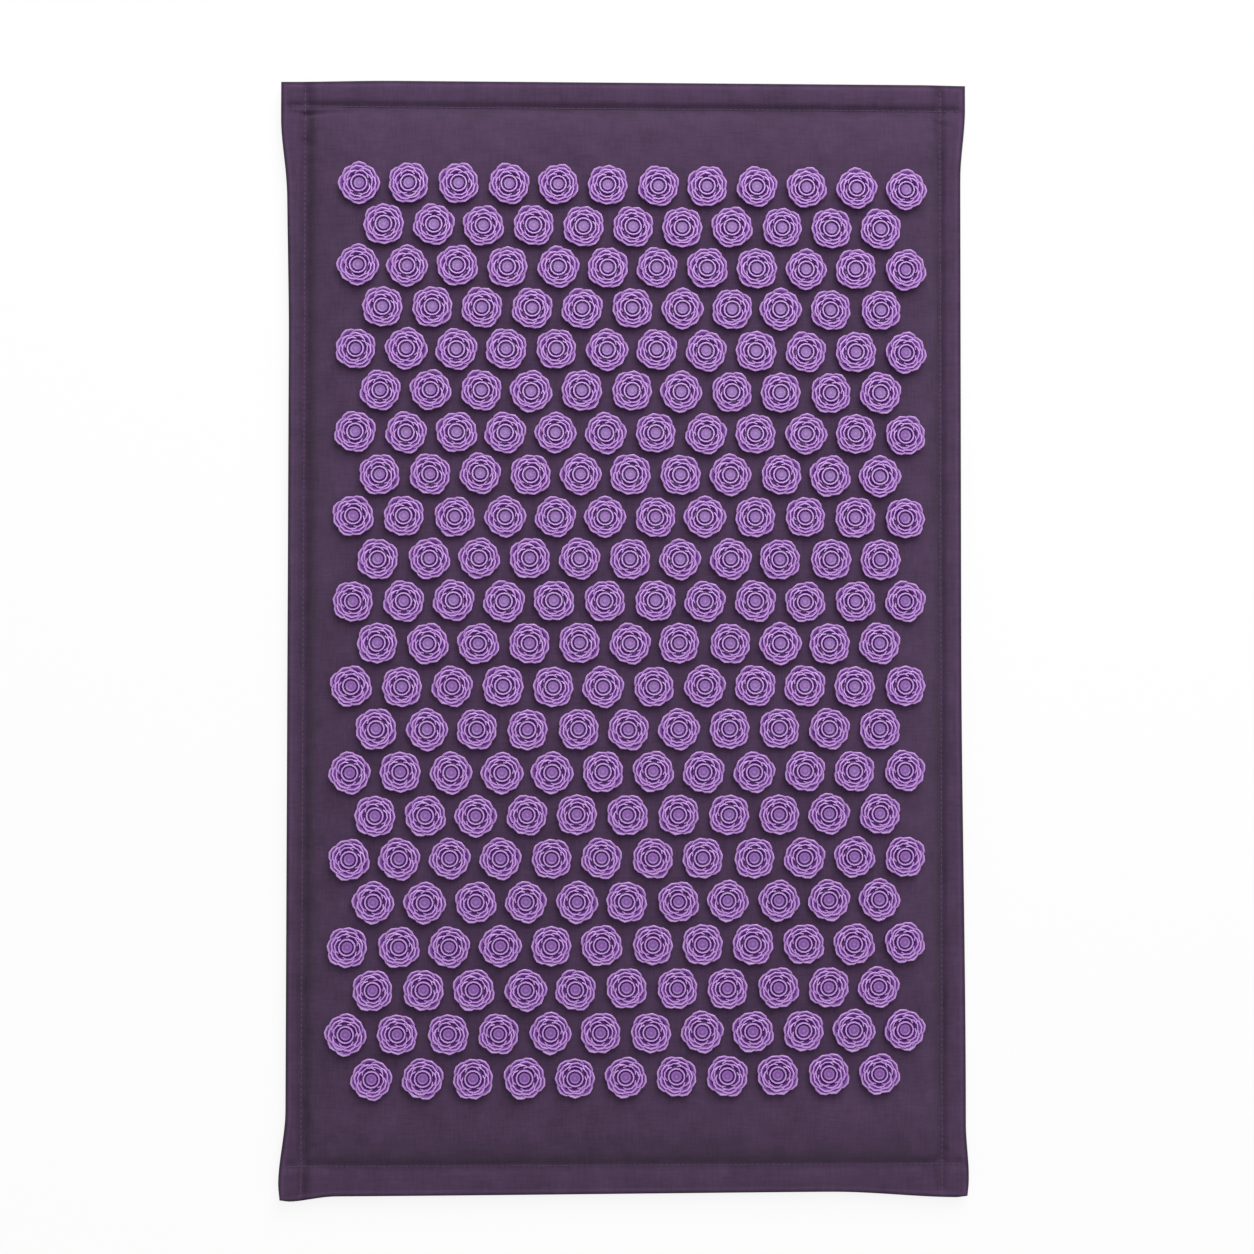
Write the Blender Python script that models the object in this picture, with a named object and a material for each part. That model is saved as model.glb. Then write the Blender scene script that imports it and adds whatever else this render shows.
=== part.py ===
# Acupressure mat, lying flat with its spikes up.
#
# A washable cloth cover holds a foam core. The cover is a front panel that carries a
# staggered field of moulded spike rosettes, a back panel and a narrow end panel. A zip
# joins the back panel to the end panel, on the sloping underside close to one short end.
# Front and back meet in a flat hem flange, sewn all round the pad by four straight seams.
#
# Metres, +Z up. The origin is on the floor under the middle of the mat. Y runs along the
# mat, towards the end without the zip. X runs across it.

from math import atan2, exp, floor, pi

import bmesh
import bpy
from mathutils import Matrix, Vector

# Overall outline, measured over the corners of the flange
MAT_WIDTH = 0.420
MAT_LENGTH = 0.680
SIDE_DRAW_IN = 0.0055
END_DRAW_IN = 0.0022
CORNER_REACH = 0.048

# The flange, outside the seams
SIDE_FLANGE = 0.018
END_FLANGE = 0.0205
SEAM_HEIGHT = 0.009

# The pad, inside the seams, a little nearer to the end without the zip
PAD_SHIFT_Y = 0.0028
PAD_RISE = 0.009
PAD_CROWN = 0.0015
SHOULDER = 0.009
UNDER_BAND = 0.036

# Sheets, and the clearance that is left where two pieces touch
CLOTH = 0.001
LINING = 0.0006
FIT = 0.0003

# Where the surface of the pad bends, measured inwards from the seam
SHOULDER_STEPS = (0.005, 0.012, 0.024, UNDER_BAND)
LINE_ROOM = 0.0025
CELL_COUNT_X = 2
CELL_COUNT_Y = 3

# Foam core
FOAM_FIT = 0.0006
FOAM_INSET = 0.012
FOAM_ZIP_INSET = 0.018

# Rosettes: long rows and short rows take turns, a half pitch apart, as many as fit
FIELD_MARGIN_SIDE = 0.007
FIELD_MARGIN_END = 0.025
ROSETTE_PITCH = 0.0303
ROW_PITCH = 0.0256
FIELD_SHIFT_X = 0.0024
FIELD_SHIFT_Y = 0.0096
PETALS = 8
ROSETTE_BASE_RADIUS = 0.0112
ROSETTE_TIP_RADIUS = 0.0125
ROSETTE_HEIGHT = 0.0070
BUD_RADIUS = 0.0048
BUD_FOOT = 0.0022
BUD_HEIGHT = 0.0062
WEB_HEIGHT = 0.0010

# The field isn't quite regular: it widens, drifts and leans a little from row to row
PITCH_GAIN = 0.00066
ROW_GAIN = 0.00146
ROW_DRIFT = -0.00018
ROW_LEAN = 0.0011
ROW_LEAN_GAIN = 0.0006

# Sewing thread, drawn as one straight cord for each row of stitches
THREAD_RADIUS = 0.00035
THREAD_OUTSIDE_SEAM = 0.0025
THREAD_END_MARGIN = 0.002

# Zip: its middle line lies this far inside the seam, on the sloping underside
ZIP_FROM_SEAM = 0.012
SLOT_FROM_BAND = 0.002
SLOT_WIDTH = 0.009
SLOT_END_ROOM = 0.006
SLOT_TAPER = 0.004
TAPE_THICKNESS = 0.0006
TAPE_OVERLAP = 0.0062
TEETH_THICKNESS = 0.0020
TEETH_WIDTH = 0.00175
TEETH_GAP = 0.0011
STOP_LENGTH = 0.003
STOP_THICKNESS = 0.0036
ZIP_STITCH_FROM_EDGE = 0.0022

# Zip slider and its pull
SLIDER_LENGTH = 0.009
SLIDER_WIDTH = 0.0072
SLIDER_PLATE = 0.0012
SLIDER_LIP_WIDTH = 0.0008
SLIDER_LIP_HEIGHT = 0.0006
SLIDER_POST_LENGTH = 0.003
SLIDER_POST_WIDTH = 0.0005
BAIL_SPAN = 0.0061
BAIL_LEG = 0.0009
BAIL_WIDTH = 0.0016
BAIL_CLEAR = 0.0017
PULL_LENGTH = 0.018
PULL_THICKNESS = 0.0009
PULL_WIDTH = 0.0060
PULL_ARM = 0.0013
PULL_EYE_LENGTH = 0.0040
PULL_AXLE_RADIUS = 0.0005

# Finishes: colour, roughness, metallic
CLOTH_FINISH = ((0.085, 0.047, 0.101), 0.90, 0.0)
LINING_FINISH = ((0.30, 0.28, 0.31), 0.95, 0.0)
FOAM_FINISH = ((0.72, 0.69, 0.60), 0.95, 0.0)
ROSETTE_FINISH = ((0.36, 0.18, 0.54), 0.35, 0.0)
THREAD_FINISH = ((0.11, 0.065, 0.13), 0.80, 0.0)
TAPE_FINISH = ((0.060, 0.035, 0.070), 0.85, 0.0)
TEETH_FINISH = ((0.050, 0.030, 0.060), 0.45, 0.0)
METAL_FINISH = ((0.30, 0.28, 0.31), 0.35, 1.0)

# Worked out from the sizes above
SEAM_X = MAT_WIDTH / 2 - SIDE_FLANGE
SEAM_Y = MAT_LENGTH / 2 - END_FLANGE
FLANGE_TOP = SEAM_HEIGHT + FIT / 2 + CLOTH
FLANGE_UNDER = SEAM_HEIGHT - FIT / 2 - CLOTH
UNDER_SLOPE = atan2(FLANGE_UNDER, UNDER_BAND)
ZIP_Y = PAD_SHIFT_Y - (SEAM_Y - ZIP_FROM_SEAM)
SLOT_HALF_LENGTH = SEAM_X - UNDER_BAND - SLOT_FROM_BAND
ZIP_HALF = SLOT_HALF_LENGTH - SLOT_END_ROOM
TAPE_END_Y = ZIP_Y + SLOT_WIDTH / 2 + TAPE_OVERLAP + FIT
TEETH_OUTER = TEETH_GAP / 2 + TEETH_WIDTH
TAPE_OUT = -(CLOTH + FIT)
CHAIN_MIDDLE = TAPE_OUT - TAPE_THICKNESS / 2
FIELD_X = 2 * (SEAM_X - FIELD_SHIFT_X - FIELD_MARGIN_SIDE - ROSETTE_TIP_RADIUS)
FIELD_OFF_PAD = FIELD_SHIFT_Y - PAD_SHIFT_Y
FIELD_Y = 2 * (SEAM_Y - FIELD_OFF_PAD - FIELD_MARGIN_END - ROSETTE_TIP_RADIUS)
LONG_ROW = 1 + floor(FIELD_X / ROSETTE_PITCH)
ROW_COUNT = 1 + floor(FIELD_Y / ROW_PITCH)


def new_collection(name):
    collection = bpy.data.collections.new(name)
    bpy.context.scene.collection.children.link(collection)
    return collection


def finish(name, values):
    """A plain material from a colour, a roughness and a metallic value."""
    colour, roughness, metallic = values
    material = bpy.data.materials.new(name)
    material.use_nodes = True
    shader = material.node_tree.nodes["Principled BSDF"]
    shader.inputs["Base Color"].default_value = (*colour, 1.0)
    shader.inputs["Roughness"].default_value = roughness
    shader.inputs["Metallic"].default_value = metallic
    material.diffuse_color = (*colour, 1.0)
    return material


def add_object(name, bm, material, parent=None):
    """Turns a bmesh into a named object in the mat's collection."""
    bmesh.ops.recalc_face_normals(bm, faces=bm.faces)
    mesh = bpy.data.meshes.new(name)
    bm.to_mesh(mesh)
    bm.free()
    mesh.materials.append(material)
    obj = bpy.data.objects.new(name, mesh)
    PARTS.objects.link(obj)
    if parent is not None:
        obj.parent = parent
    return obj


def corner_share(distance):
    """How much of the corner's ear is left at a distance from the corner, from 1 to 0."""
    return exp(-(distance / CORNER_REACH) ** 2)


def edge_x(y):
    """Half the width of the mat at y: the sides are drawn in between the corners."""
    return MAT_WIDTH / 2 - SIDE_DRAW_IN * (1 - corner_share(MAT_LENGTH / 2 - abs(y)))


def edge_y(x):
    """Half the length of the mat at x: the ends are drawn in a little as well."""
    return MAT_LENGTH / 2 - END_DRAW_IN * (1 - corner_share(MAT_WIDTH / 2 - abs(x)))


def inside_side(x):
    """Distance from the nearer side seam, inwards."""
    return SEAM_X - abs(x)


def inside_end(y):
    """Distance from the nearer end seam, inwards."""
    return SEAM_Y - abs(y - PAD_SHIFT_Y)


def shoulder(distance):
    """The share of the pad's rise that is reached at a distance inside the seam."""
    return 1 - exp(-max(distance, 0.0) / SHOULDER)


def front_top(x, y):
    """Height of the front cloth's outer face: flat on the flange, crowned inside it."""
    rise = PAD_RISE * shoulder(inside_side(x)) * shoulder(inside_end(y))
    crown_x = max(0.0, 1 - (x / SEAM_X) ** 2)
    crown_y = max(0.0, 1 - ((y - PAD_SHIFT_Y) / SEAM_Y) ** 2)
    return FLANGE_TOP + rise + PAD_CROWN * crown_x * crown_y


def settled(distance):
    """How far the underside has come down to the floor at a distance inside the seam."""
    return min(max(distance / UNDER_BAND, 0.0), 1.0)


def back_under(x, y):
    """Height of the back cloth's outer face: on the floor, then up to the flange."""
    return FLANGE_UNDER * (1 - settled(inside_side(x)) * settled(inside_end(y)))


def front_bottom(x, y):
    return front_top(x, y) - CLOTH


def back_top(x, y):
    return back_under(x, y) + CLOTH


def lining_top(x, y):
    return front_bottom(x, y) - FIT


def lining_bottom(x, y):
    return lining_top(x, y) - LINING


def foam_top(x, y):
    return lining_bottom(x, y) - FOAM_FIT


def foam_bottom(x, y):
    """The foam rests on the back cloth, and near the zip on the tape that lies on it."""
    on_tape = 1.0 if y < TAPE_END_Y + FIT else 0.0
    return back_top(x, y) + FOAM_FIT + on_tape * (TAPE_THICKNESS + FIT)


def front_normal(x, y):
    """Outward normal of the crowned front cloth."""
    step = 0.0005
    slope_x = (front_top(x + step, y) - front_top(x - step, y)) / (2 * step)
    slope_y = (front_top(x, y + step) - front_top(x, y - step)) / (2 * step)
    return Vector((-slope_x, -slope_y, 1.0)).normalized()


def half_stations(seam, middle_steps):
    """Grid lines from the middle to the seam, close together over the shoulder."""
    inner = seam - SHOULDER_STEPS[-1]
    lines = [inner * i / middle_steps for i in range(middle_steps)]
    lines += [seam - step for step in reversed(SHOULDER_STEPS)]
    lines.append(seam)
    return lines


def stations(seam, middle_steps, extra=(), middle=0.0):
    """Grid lines over the whole width or length, and extra ones, which push out near ones."""
    half = half_stations(seam, middle_steps)
    lines = {middle + side * line for line in half for side in (-1, 1)}
    kept = {line for line in lines if all(abs(line - e) > LINE_ROOM for e in extra)}
    return sorted(kept | set(extra))


def lines_along(extra=()):
    """Grid lines along the mat, set out from the middle of the pad."""
    return stations(SEAM_Y, CELL_COUNT_Y, extra, PAD_SHIFT_Y)


def within(lines, low, high):
    """The grid lines between two edges, and the edges."""
    return [low] + [line for line in lines if low + FIT < line < high - FIT] + [high]


def slab(name, xs, ys, low, high, material, place=None):
    """A closed sheet or block over a grid, between a lower and an upper height."""
    bm = bmesh.new()
    bmesh.ops.create_grid(bm, x_segments=len(xs) - 1, y_segments=len(ys) - 1, size=1.0)
    for vert in bm.verts:
        x = xs[round((vert.co.x + 1) / 2 * (len(xs) - 1))]
        y = ys[round((vert.co.y + 1) / 2 * (len(ys) - 1))]
        if place is not None:
            x, y = place(x, y)
        vert.co = (x, y, 0.0)
    bmesh.ops.triangulate(bm, faces=bm.faces, quad_method="FIXED")
    under = list(bm.verts)
    grown = bmesh.ops.extrude_face_region(bm, geom=bm.faces[:])
    over = [item for item in grown["geom"] if isinstance(item, bmesh.types.BMVert)]
    for vert in over:
        vert.co.z = high(vert.co.x, vert.co.y)
    for vert in under:
        vert.co.z = low(vert.co.x, vert.co.y)
    return add_object(name, bm, material)


def outer_edge(x, y):
    """Moves the outermost grid lines onto the mat's drawn-in outline."""
    side = MAT_WIDTH / 2
    end = MAT_LENGTH / 2
    placed_x = x if abs(x) < side - FIT else edge_x(y) * (1 if x > 0 else -1)
    placed_y = y if abs(y) < end - FIT else edge_y(x) * (1 if y > 0 else -1)
    return placed_x, placed_y


def slot_half(x):
    """Half the gap between the back and end panels: the zip's slot, then a plain seam."""
    past = (abs(x) - SLOT_HALF_LENGTH) / SLOT_TAPER
    share = 1 - min(max(past, 0.0), 1.0)
    return FIT / 2 + (SLOT_WIDTH - FIT) / 2 * share


def panel_lines_x():
    """Grid lines across a whole panel, flange included."""
    side = MAT_WIDTH / 2
    return stations(SEAM_X, CELL_COUNT_X, (-side, side))


def make_front_panel(cloth):
    end = MAT_LENGTH / 2
    ys = lines_along((-end, end))
    slab("front_panel", panel_lines_x(), ys, front_bottom, front_top, cloth, outer_edge)


def back_lines_x():
    """The panel's grid lines, with those where the zip's slot ends."""
    slot_ends = (SLOT_HALF_LENGTH, SLOT_HALF_LENGTH + SLOT_TAPER, MAT_WIDTH / 2)
    return stations(SEAM_X, CELL_COUNT_X, [side * x for x in slot_ends for side in (-1, 1)])


def make_back_panels(cloth):
    end = MAT_LENGTH / 2
    ys = lines_along((-end, end))

    def back_place(x, y):
        if y == ZIP_Y:
            return outer_edge(x, y)[0], ZIP_Y + slot_half(x)
        return outer_edge(x, y)

    def end_place(x, y):
        if y == ZIP_Y:
            return outer_edge(x, y)[0], ZIP_Y - slot_half(x)
        return outer_edge(x, y)

    back_ys = [ZIP_Y] + [y for y in ys if y > ZIP_Y + SLOT_WIDTH]
    end_ys = [-end, PAD_SHIFT_Y - SEAM_Y, ZIP_Y]
    slab("back_panel", back_lines_x(), back_ys, back_under, back_top, cloth, back_place)
    slab("zip_end_panel", back_lines_x(), end_ys, back_under, back_top, cloth, end_place)


def make_lining(lining):
    half_x = SEAM_X - SHOULDER_STEPS[1]
    half_y = SEAM_Y - SHOULDER_STEPS[1]
    xs = within(stations(SEAM_X, CELL_COUNT_X), -half_x, half_x)
    ys = within(lines_along(), PAD_SHIFT_Y - half_y, PAD_SHIFT_Y + half_y)
    slab("rosette_backing_lining", xs, ys, lining_bottom, lining_top, lining)


def make_foam(foam):
    half_x = SEAM_X - FOAM_INSET
    far_y = PAD_SHIFT_Y + SEAM_Y - FOAM_INSET
    near_y = PAD_SHIFT_Y - SEAM_Y + FOAM_ZIP_INSET
    xs = within(stations(SEAM_X, CELL_COUNT_X), -half_x, half_x)
    off_tape = (TAPE_END_Y, TAPE_END_Y + CLOTH * 3)
    ys = within(lines_along(off_tape), near_y, far_y)
    slab("foam_core", xs, ys, foam_bottom, foam_top, foam)


def seat_matrix(x, y):
    """Stands a rosette on the crowned cloth, square to it."""
    normal = front_normal(x, y)
    turn = Vector((0, 0, 1)).rotation_difference(normal).to_matrix().to_4x4()
    foot = Vector((x, y, front_top(x, y))) + normal * FIT
    return Matrix.Translation(foot) @ turn


def add_rosette(bm, matrix):
    """One rosette: a ring of petals leaning out, a hollow, and a pointed bud inside it.

    Returns the low side faces that look along -X and +X, where the webs join.
    """
    made = bmesh.ops.create_cone(
        bm, cap_ends=True, segments=PETALS, depth=ROSETTE_HEIGHT,
        radius1=ROSETTE_BASE_RADIUS, radius2=ROSETTE_TIP_RADIUS,
    )
    verts = made["verts"]
    base = [v for v in verts if v.co.z < 0]
    bmesh.ops.rotate(bm, verts=base, cent=(0, 0, 0), matrix=Matrix.Rotation(pi / PETALS, 3, "Z"))
    bmesh.ops.translate(bm, verts=verts, vec=(0, 0, ROSETTE_HEIGHT / 2))
    faces = {face for v in verts for face in v.link_faces}
    top = max(faces, key=lambda face: face.calc_center_median().z)
    walls = [face for face in faces if len(face.verts) == 4]
    bmesh.ops.triangulate(bm, faces=walls, quad_method="SHORT_EDGE")
    rim = (ROSETTE_TIP_RADIUS - BUD_RADIUS) * 0.92
    bmesh.ops.inset_individual(bm, faces=[top], thickness=rim, use_even_offset=True)
    foot = list(top.verts)
    bmesh.ops.translate(bm, verts=foot, vec=(0, 0, BUD_FOOT - ROSETTE_HEIGHT))
    tip = bmesh.ops.poke(bm, faces=[top])["verts"]
    bmesh.ops.translate(bm, verts=tip, vec=(0, 0, BUD_HEIGHT - BUD_FOOT))
    low = [f for v in base for f in v.link_faces if sum(w in base for w in f.verts) == 2]
    sides = [f for f in set(low) if len(f.verts) == 3]
    left = min(sides, key=lambda face: face.calc_center_median().x)
    right = max(sides, key=lambda face: face.calc_center_median().x)
    joints = [web_opening(bm, face, set(base)) for face in (left, right)]
    every = set(verts) | set(foot) | set(tip) | {j[0] for j in joints}
    bmesh.ops.transform(bm, verts=list(every), matrix=matrix)
    return [joint[1] for joint in joints]


def web_opening(bm, face, base):
    """Cuts a low triangle out of a side face, for the web to the next rosette."""
    foot = sum((v.co for v in face.verts if v in base), Vector()) / 2
    tip = next(v.co.copy() for v in face.verts if v not in base)
    made = bmesh.ops.poke(bm, faces=[face])
    middle = made["verts"][0]
    middle.co = foot.lerp(tip, WEB_HEIGHT / ROSETTE_HEIGHT)
    opening = next(f for f in made["faces"] if sum(v in base for v in f.verts) == 2)
    return middle, opening


def row_places(row):
    """Centres of the rosettes in a row, numbered from the end without the zip."""
    count = LONG_ROW - row % 2
    along = row - (ROW_COUNT - 1) / 2
    pitch = ROSETTE_PITCH * (1 + PITCH_GAIN * along)
    start = FIELD_SHIFT_X + ROW_DRIFT * along - (count - 1) / 2 * pitch
    middle_y = FIELD_SHIFT_Y - ROW_PITCH * along * (1 + ROW_GAIN * along)
    lean = ROW_LEAN + ROW_LEAN_GAIN * along
    return [(start + i * pitch, middle_y + (start + i * pitch) * lean) for i in range(count)]


def make_rosette_row(row, plastic):
    """A row of rosettes, held together by a low web between neighbours."""
    bm = bmesh.new()
    last = None
    for x, y in row_places(row):
        left, right = add_rosette(bm, seat_matrix(x, y))
        if last is not None:
            edges = list(last.edges) + list(left.edges)
            bmesh.ops.delete(bm, geom=[last, left], context="FACES_ONLY")
            bmesh.ops.bridge_loops(bm, edges=edges)
        last = right
    add_object(f"rosette_row_{row + 1:02d}", bm, plastic)


def box(size_x, size_y, size_z, centre):
    """A bmesh box of the given sizes."""
    bm = bmesh.new()
    size = Matrix.Diagonal((size_x, size_y, size_z, 1.0))
    bmesh.ops.create_cube(bm, size=1.0, matrix=Matrix.Translation(centre) @ size)
    return bm


def thread(name, start, end, material, parent=None):
    """A straight run of sewing thread between two points."""
    curve = bpy.data.curves.new(name, "CURVE")
    curve.dimensions = "3D"
    curve.bevel_depth = THREAD_RADIUS
    curve.bevel_resolution = 1
    curve.use_fill_caps = True
    spline = curve.splines.new("POLY")
    spline.points.add(1)
    for point, place in zip(spline.points, (start, end)):
        point.co = (*place, 1.0)
    curve.materials.append(material)
    obj = bpy.data.objects.new(name, curve)
    PARTS.objects.link(obj)
    if parent is not None:
        obj.parent = parent


def make_flange_threads(material):
    """Four seams hold the flange: each has a needle thread above and a bobbin thread below."""
    side = SEAM_X + THREAD_OUTSIDE_SEAM
    end = SEAM_Y + THREAD_OUTSIDE_SEAM
    long_run = MAT_LENGTH / 2 - END_DRAW_IN - THREAD_END_MARGIN
    short_run = side - THREAD_RADIUS - FIT
    clear = THREAD_RADIUS + FIT
    for layer, z in (("needle", FLANGE_TOP + clear), ("bobbin", FLANGE_UNDER - clear)):
        for name, x in (("left", -side), ("right", side)):
            thread(f"{layer}_thread_{name}", (x, -long_run, z), (x, long_run, z), material)
        for name, y in (("foot_end", PAD_SHIFT_Y - end), ("head_end", PAD_SHIFT_Y + end)):
            thread(f"{layer}_thread_{name}", (-short_run, y, z), (short_run, y, z), material)


def zip_frame():
    """Frame of the zip: X along it, Z out of the sloping underside, Y to the flange."""
    frame = bpy.data.objects.new("zip_frame", None)
    PARTS.objects.link(frame)
    frame.location = (0.0, ZIP_Y, back_under(0.0, ZIP_Y))
    frame.rotation_euler = (pi - UNDER_SLOPE, 0.0, 0.0)
    return frame


def make_zip_chain(frame, tape, teeth, metal, sewing):
    """The two tapes with their rows of teeth, the stops and the sewing that holds them."""
    tape_inner = TEETH_OUTER + FIT
    tape_outer = SLOT_WIDTH / 2 + TAPE_OVERLAP
    for name, side in (("flange_side", 1), ("pad_side", -1)):
        width = tape_outer - tape_inner
        centre = (0.0, side * (tape_inner + width / 2), CHAIN_MIDDLE)
        bm = box(2 * SLOT_HALF_LENGTH, width, TAPE_THICKNESS, centre)
        add_object(f"zip_tape_{name}", bm, tape, frame)
        row = (0.0, side * (TEETH_GAP + TEETH_WIDTH) / 2, CHAIN_MIDDLE)
        bm = box(2 * ZIP_HALF, TEETH_WIDTH, TEETH_THICKNESS, row)
        add_object(f"zip_teeth_{name}", bm, teeth, frame)
        stop = (ZIP_HALF + FIT + STOP_LENGTH / 2, row[1], CHAIN_MIDDLE)
        bm = box(STOP_LENGTH, TEETH_WIDTH, STOP_THICKNESS, stop)
        add_object(f"zip_top_stop_{name}", bm, metal, frame)
        stitch_y = side * (SLOT_WIDTH / 2 + ZIP_STITCH_FROM_EDGE)
        stitch_z = THREAD_RADIUS + FIT
        start = (-SLOT_HALF_LENGTH, stitch_y, stitch_z)
        end = (SLOT_HALF_LENGTH, stitch_y, stitch_z)
        thread(f"zip_seam_thread_{name}", start, end, sewing, frame)
    bottom = (-(ZIP_HALF + FIT + STOP_LENGTH / 2), 0.0, CHAIN_MIDDLE)
    bm = box(STOP_LENGTH, 2 * TEETH_OUTER, STOP_THICKNESS, bottom)
    add_object("zip_bottom_stop", bm, metal, frame)


def pin(radius, length):
    """A round pin along Y, about the origin."""
    bm = bmesh.new()
    upright = Matrix.Rotation(pi / 2, 4, "X")
    bmesh.ops.create_cone(
        bm, cap_ends=True, segments=16, depth=length,
        radius1=radius, radius2=radius, matrix=upright,
    )
    return bm


def join_solids(name, solids, material, parent):
    """Joins overlapping solids into one: the first takes the others by union."""
    obj = add_object(name, solids[0], material, parent)
    for index, solid in enumerate(solids[1:]):
        other = add_object(f"{name}_block_{index + 1}", solid, material, parent)
        PARTS.objects.unlink(other)
        CUTTERS.objects.link(other)
        other.hide_render = True
        other.display_type = "WIRE"
        union = obj.modifiers.new(f"join_{index + 1}", "BOOLEAN")
        union.operation = "UNION"
        union.object = other
    return obj


def make_slider(frame, metal):
    """Zip slider: two plates round the chain, a post between the rows, and a bail."""
    slider = bpy.data.objects.new("slider_place", None)
    PARTS.objects.link(slider)
    slider.parent = frame
    slider.location = (ZIP_HALF - SLIDER_LENGTH / 2, 0.0, CHAIN_MIDDLE)
    inner = TEETH_THICKNESS / 2 + FIT
    plate_z = inner + SLIDER_PLATE / 2
    plate = (SLIDER_LENGTH, SLIDER_WIDTH, SLIDER_PLATE)
    post_height = 2 * inner + SLIDER_PLATE
    boxes = [(*plate, (0, 0, plate_z)), (*plate, (0, 0, -plate_z))]
    post_x = (SLIDER_LENGTH - SLIDER_POST_LENGTH) / 2 - SLIDER_PLATE / 2
    boxes.append((SLIDER_POST_LENGTH, SLIDER_POST_WIDTH, post_height, (post_x, 0, 0)))
    lip_y = (SLIDER_WIDTH - SLIDER_LIP_WIDTH) / 2 - SLIDER_LIP_WIDTH / 8
    lip_length = SLIDER_LENGTH - SLIDER_PLATE
    for side_y in (-1, 1):
        for side_z in (-1, 1):
            z = side_z * (inner - SLIDER_LIP_HEIGHT / 2 + SLIDER_PLATE / 4)
            height = SLIDER_LIP_HEIGHT + SLIDER_PLATE / 2
            boxes.append((lip_length, SLIDER_LIP_WIDTH, height, (0, side_y * lip_y, z)))
    outer = inner + SLIDER_PLATE
    leg_height = BAIL_CLEAR + BAIL_LEG + SLIDER_PLATE / 2
    leg_z = outer - SLIDER_PLATE / 2 + leg_height / 2
    for side_x in (-1, 1):
        leg_x = side_x * (BAIL_SPAN - BAIL_LEG) / 2
        boxes.append((BAIL_LEG, BAIL_WIDTH, leg_height, (leg_x, 0, leg_z)))
    bar_z = outer + BAIL_CLEAR + BAIL_LEG / 2
    boxes.append((BAIL_SPAN - BAIL_LEG, BAIL_WIDTH * 0.9, BAIL_LEG * 0.96, (0, 0, bar_z)))
    join_solids("zip_slider", [box(*sizes) for sizes in boxes], metal, slider)
    return slider, outer + BAIL_CLEAR / 2


def make_pull(slider, axle_z, metal):
    """Zip pull: a tab with two arms, and a round axle between them that the bail holds."""
    pull = bpy.data.objects.new("pull_place", None)
    PARTS.objects.link(pull)
    pull.parent = slider
    pull.location = (0.0, 0.0, axle_z)
    tab_length = PULL_LENGTH - PULL_EYE_LENGTH
    arm_y = (PULL_WIDTH - PULL_ARM) / 2
    tab_x = -(PULL_EYE_LENGTH + tab_length / 2)
    arm_length = PULL_EYE_LENGTH + PULL_AXLE_RADIUS + PULL_THICKNESS
    arm_x = PULL_AXLE_RADIUS - arm_length / 2
    boxes = [(tab_length, PULL_WIDTH, PULL_THICKNESS, (tab_x, 0, 0))]
    for side in (-1, 1):
        size = (arm_length, PULL_ARM, PULL_THICKNESS * 0.98)
        boxes.append((*size, (arm_x, side * arm_y * 0.99, 0)))
    solids = [box(*sizes) for sizes in boxes]
    solids.append(pin(PULL_AXLE_RADIUS, PULL_WIDTH - PULL_ARM))
    join_solids("zip_pull", solids, metal, pull)


def build():
    cloth = finish("aubergine_cloth", CLOTH_FINISH)
    sewing = finish("sewing_thread", THREAD_FINISH)
    metal = finish("zip_metal", METAL_FINISH)
    plastic = finish("violet_plastic", ROSETTE_FINISH)
    make_front_panel(cloth)
    make_back_panels(cloth)
    make_lining(finish("backing_lining", LINING_FINISH))
    make_foam(finish("foam", FOAM_FINISH))
    for row in range(ROW_COUNT):
        make_rosette_row(row, plastic)
    make_flange_threads(sewing)
    frame = zip_frame()
    tape = finish("zip_tape", TAPE_FINISH)
    teeth = finish("zip_teeth", TEETH_FINISH)
    make_zip_chain(frame, tape, teeth, metal, sewing)
    slider, axle_z = make_slider(frame, metal)
    make_pull(slider, axle_z, metal)


for old in list(bpy.data.objects):
    bpy.data.objects.remove(old, do_unlink=True)
PARTS = new_collection("acupressure_mat")
CUTTERS = new_collection("cutters")
build()
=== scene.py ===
# %% [markdown]
# # An acupressure mat, dressed
# The mat is a cloth cover round a foam core, with a staggered field of moulded spike
# rosettes on top, a flat hem flange round the pad, and a zip in the sloping underside.
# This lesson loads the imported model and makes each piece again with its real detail:
# swelling cloth, petals with thin rims, single stitches and single zip teeth.

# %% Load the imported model
import random
from math import cos, exp, pi, radians, sin, tanh

import bmesh
import bpy
from mathutils import Matrix, Vector
from mathutils.bvhtree import BVHTree
from mathutils.kdtree import KDTree


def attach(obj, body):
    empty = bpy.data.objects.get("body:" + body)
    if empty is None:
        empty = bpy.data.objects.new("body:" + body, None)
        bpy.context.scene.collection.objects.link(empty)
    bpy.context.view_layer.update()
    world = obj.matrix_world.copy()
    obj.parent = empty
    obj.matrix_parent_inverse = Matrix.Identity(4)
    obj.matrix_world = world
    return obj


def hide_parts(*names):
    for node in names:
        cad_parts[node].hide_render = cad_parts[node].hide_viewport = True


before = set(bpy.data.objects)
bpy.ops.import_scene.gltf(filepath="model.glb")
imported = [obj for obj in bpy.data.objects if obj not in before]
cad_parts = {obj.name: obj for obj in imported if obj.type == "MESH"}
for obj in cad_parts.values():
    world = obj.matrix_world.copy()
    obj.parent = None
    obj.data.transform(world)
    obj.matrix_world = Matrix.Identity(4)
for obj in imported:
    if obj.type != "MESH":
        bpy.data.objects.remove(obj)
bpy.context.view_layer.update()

# %% [markdown]
# ## The camera
# The mat is seen from straight above. The camera's place and turn were worked out from
# the rosettes, which lie on a regular lattice.

# %% Camera
LENS = 75.04
CAMERA_PLACE = (-0.0476, -0.0332, 1.6)
CAMERA_TURN = (0.0254, -0.0308, 0.0011)


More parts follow.
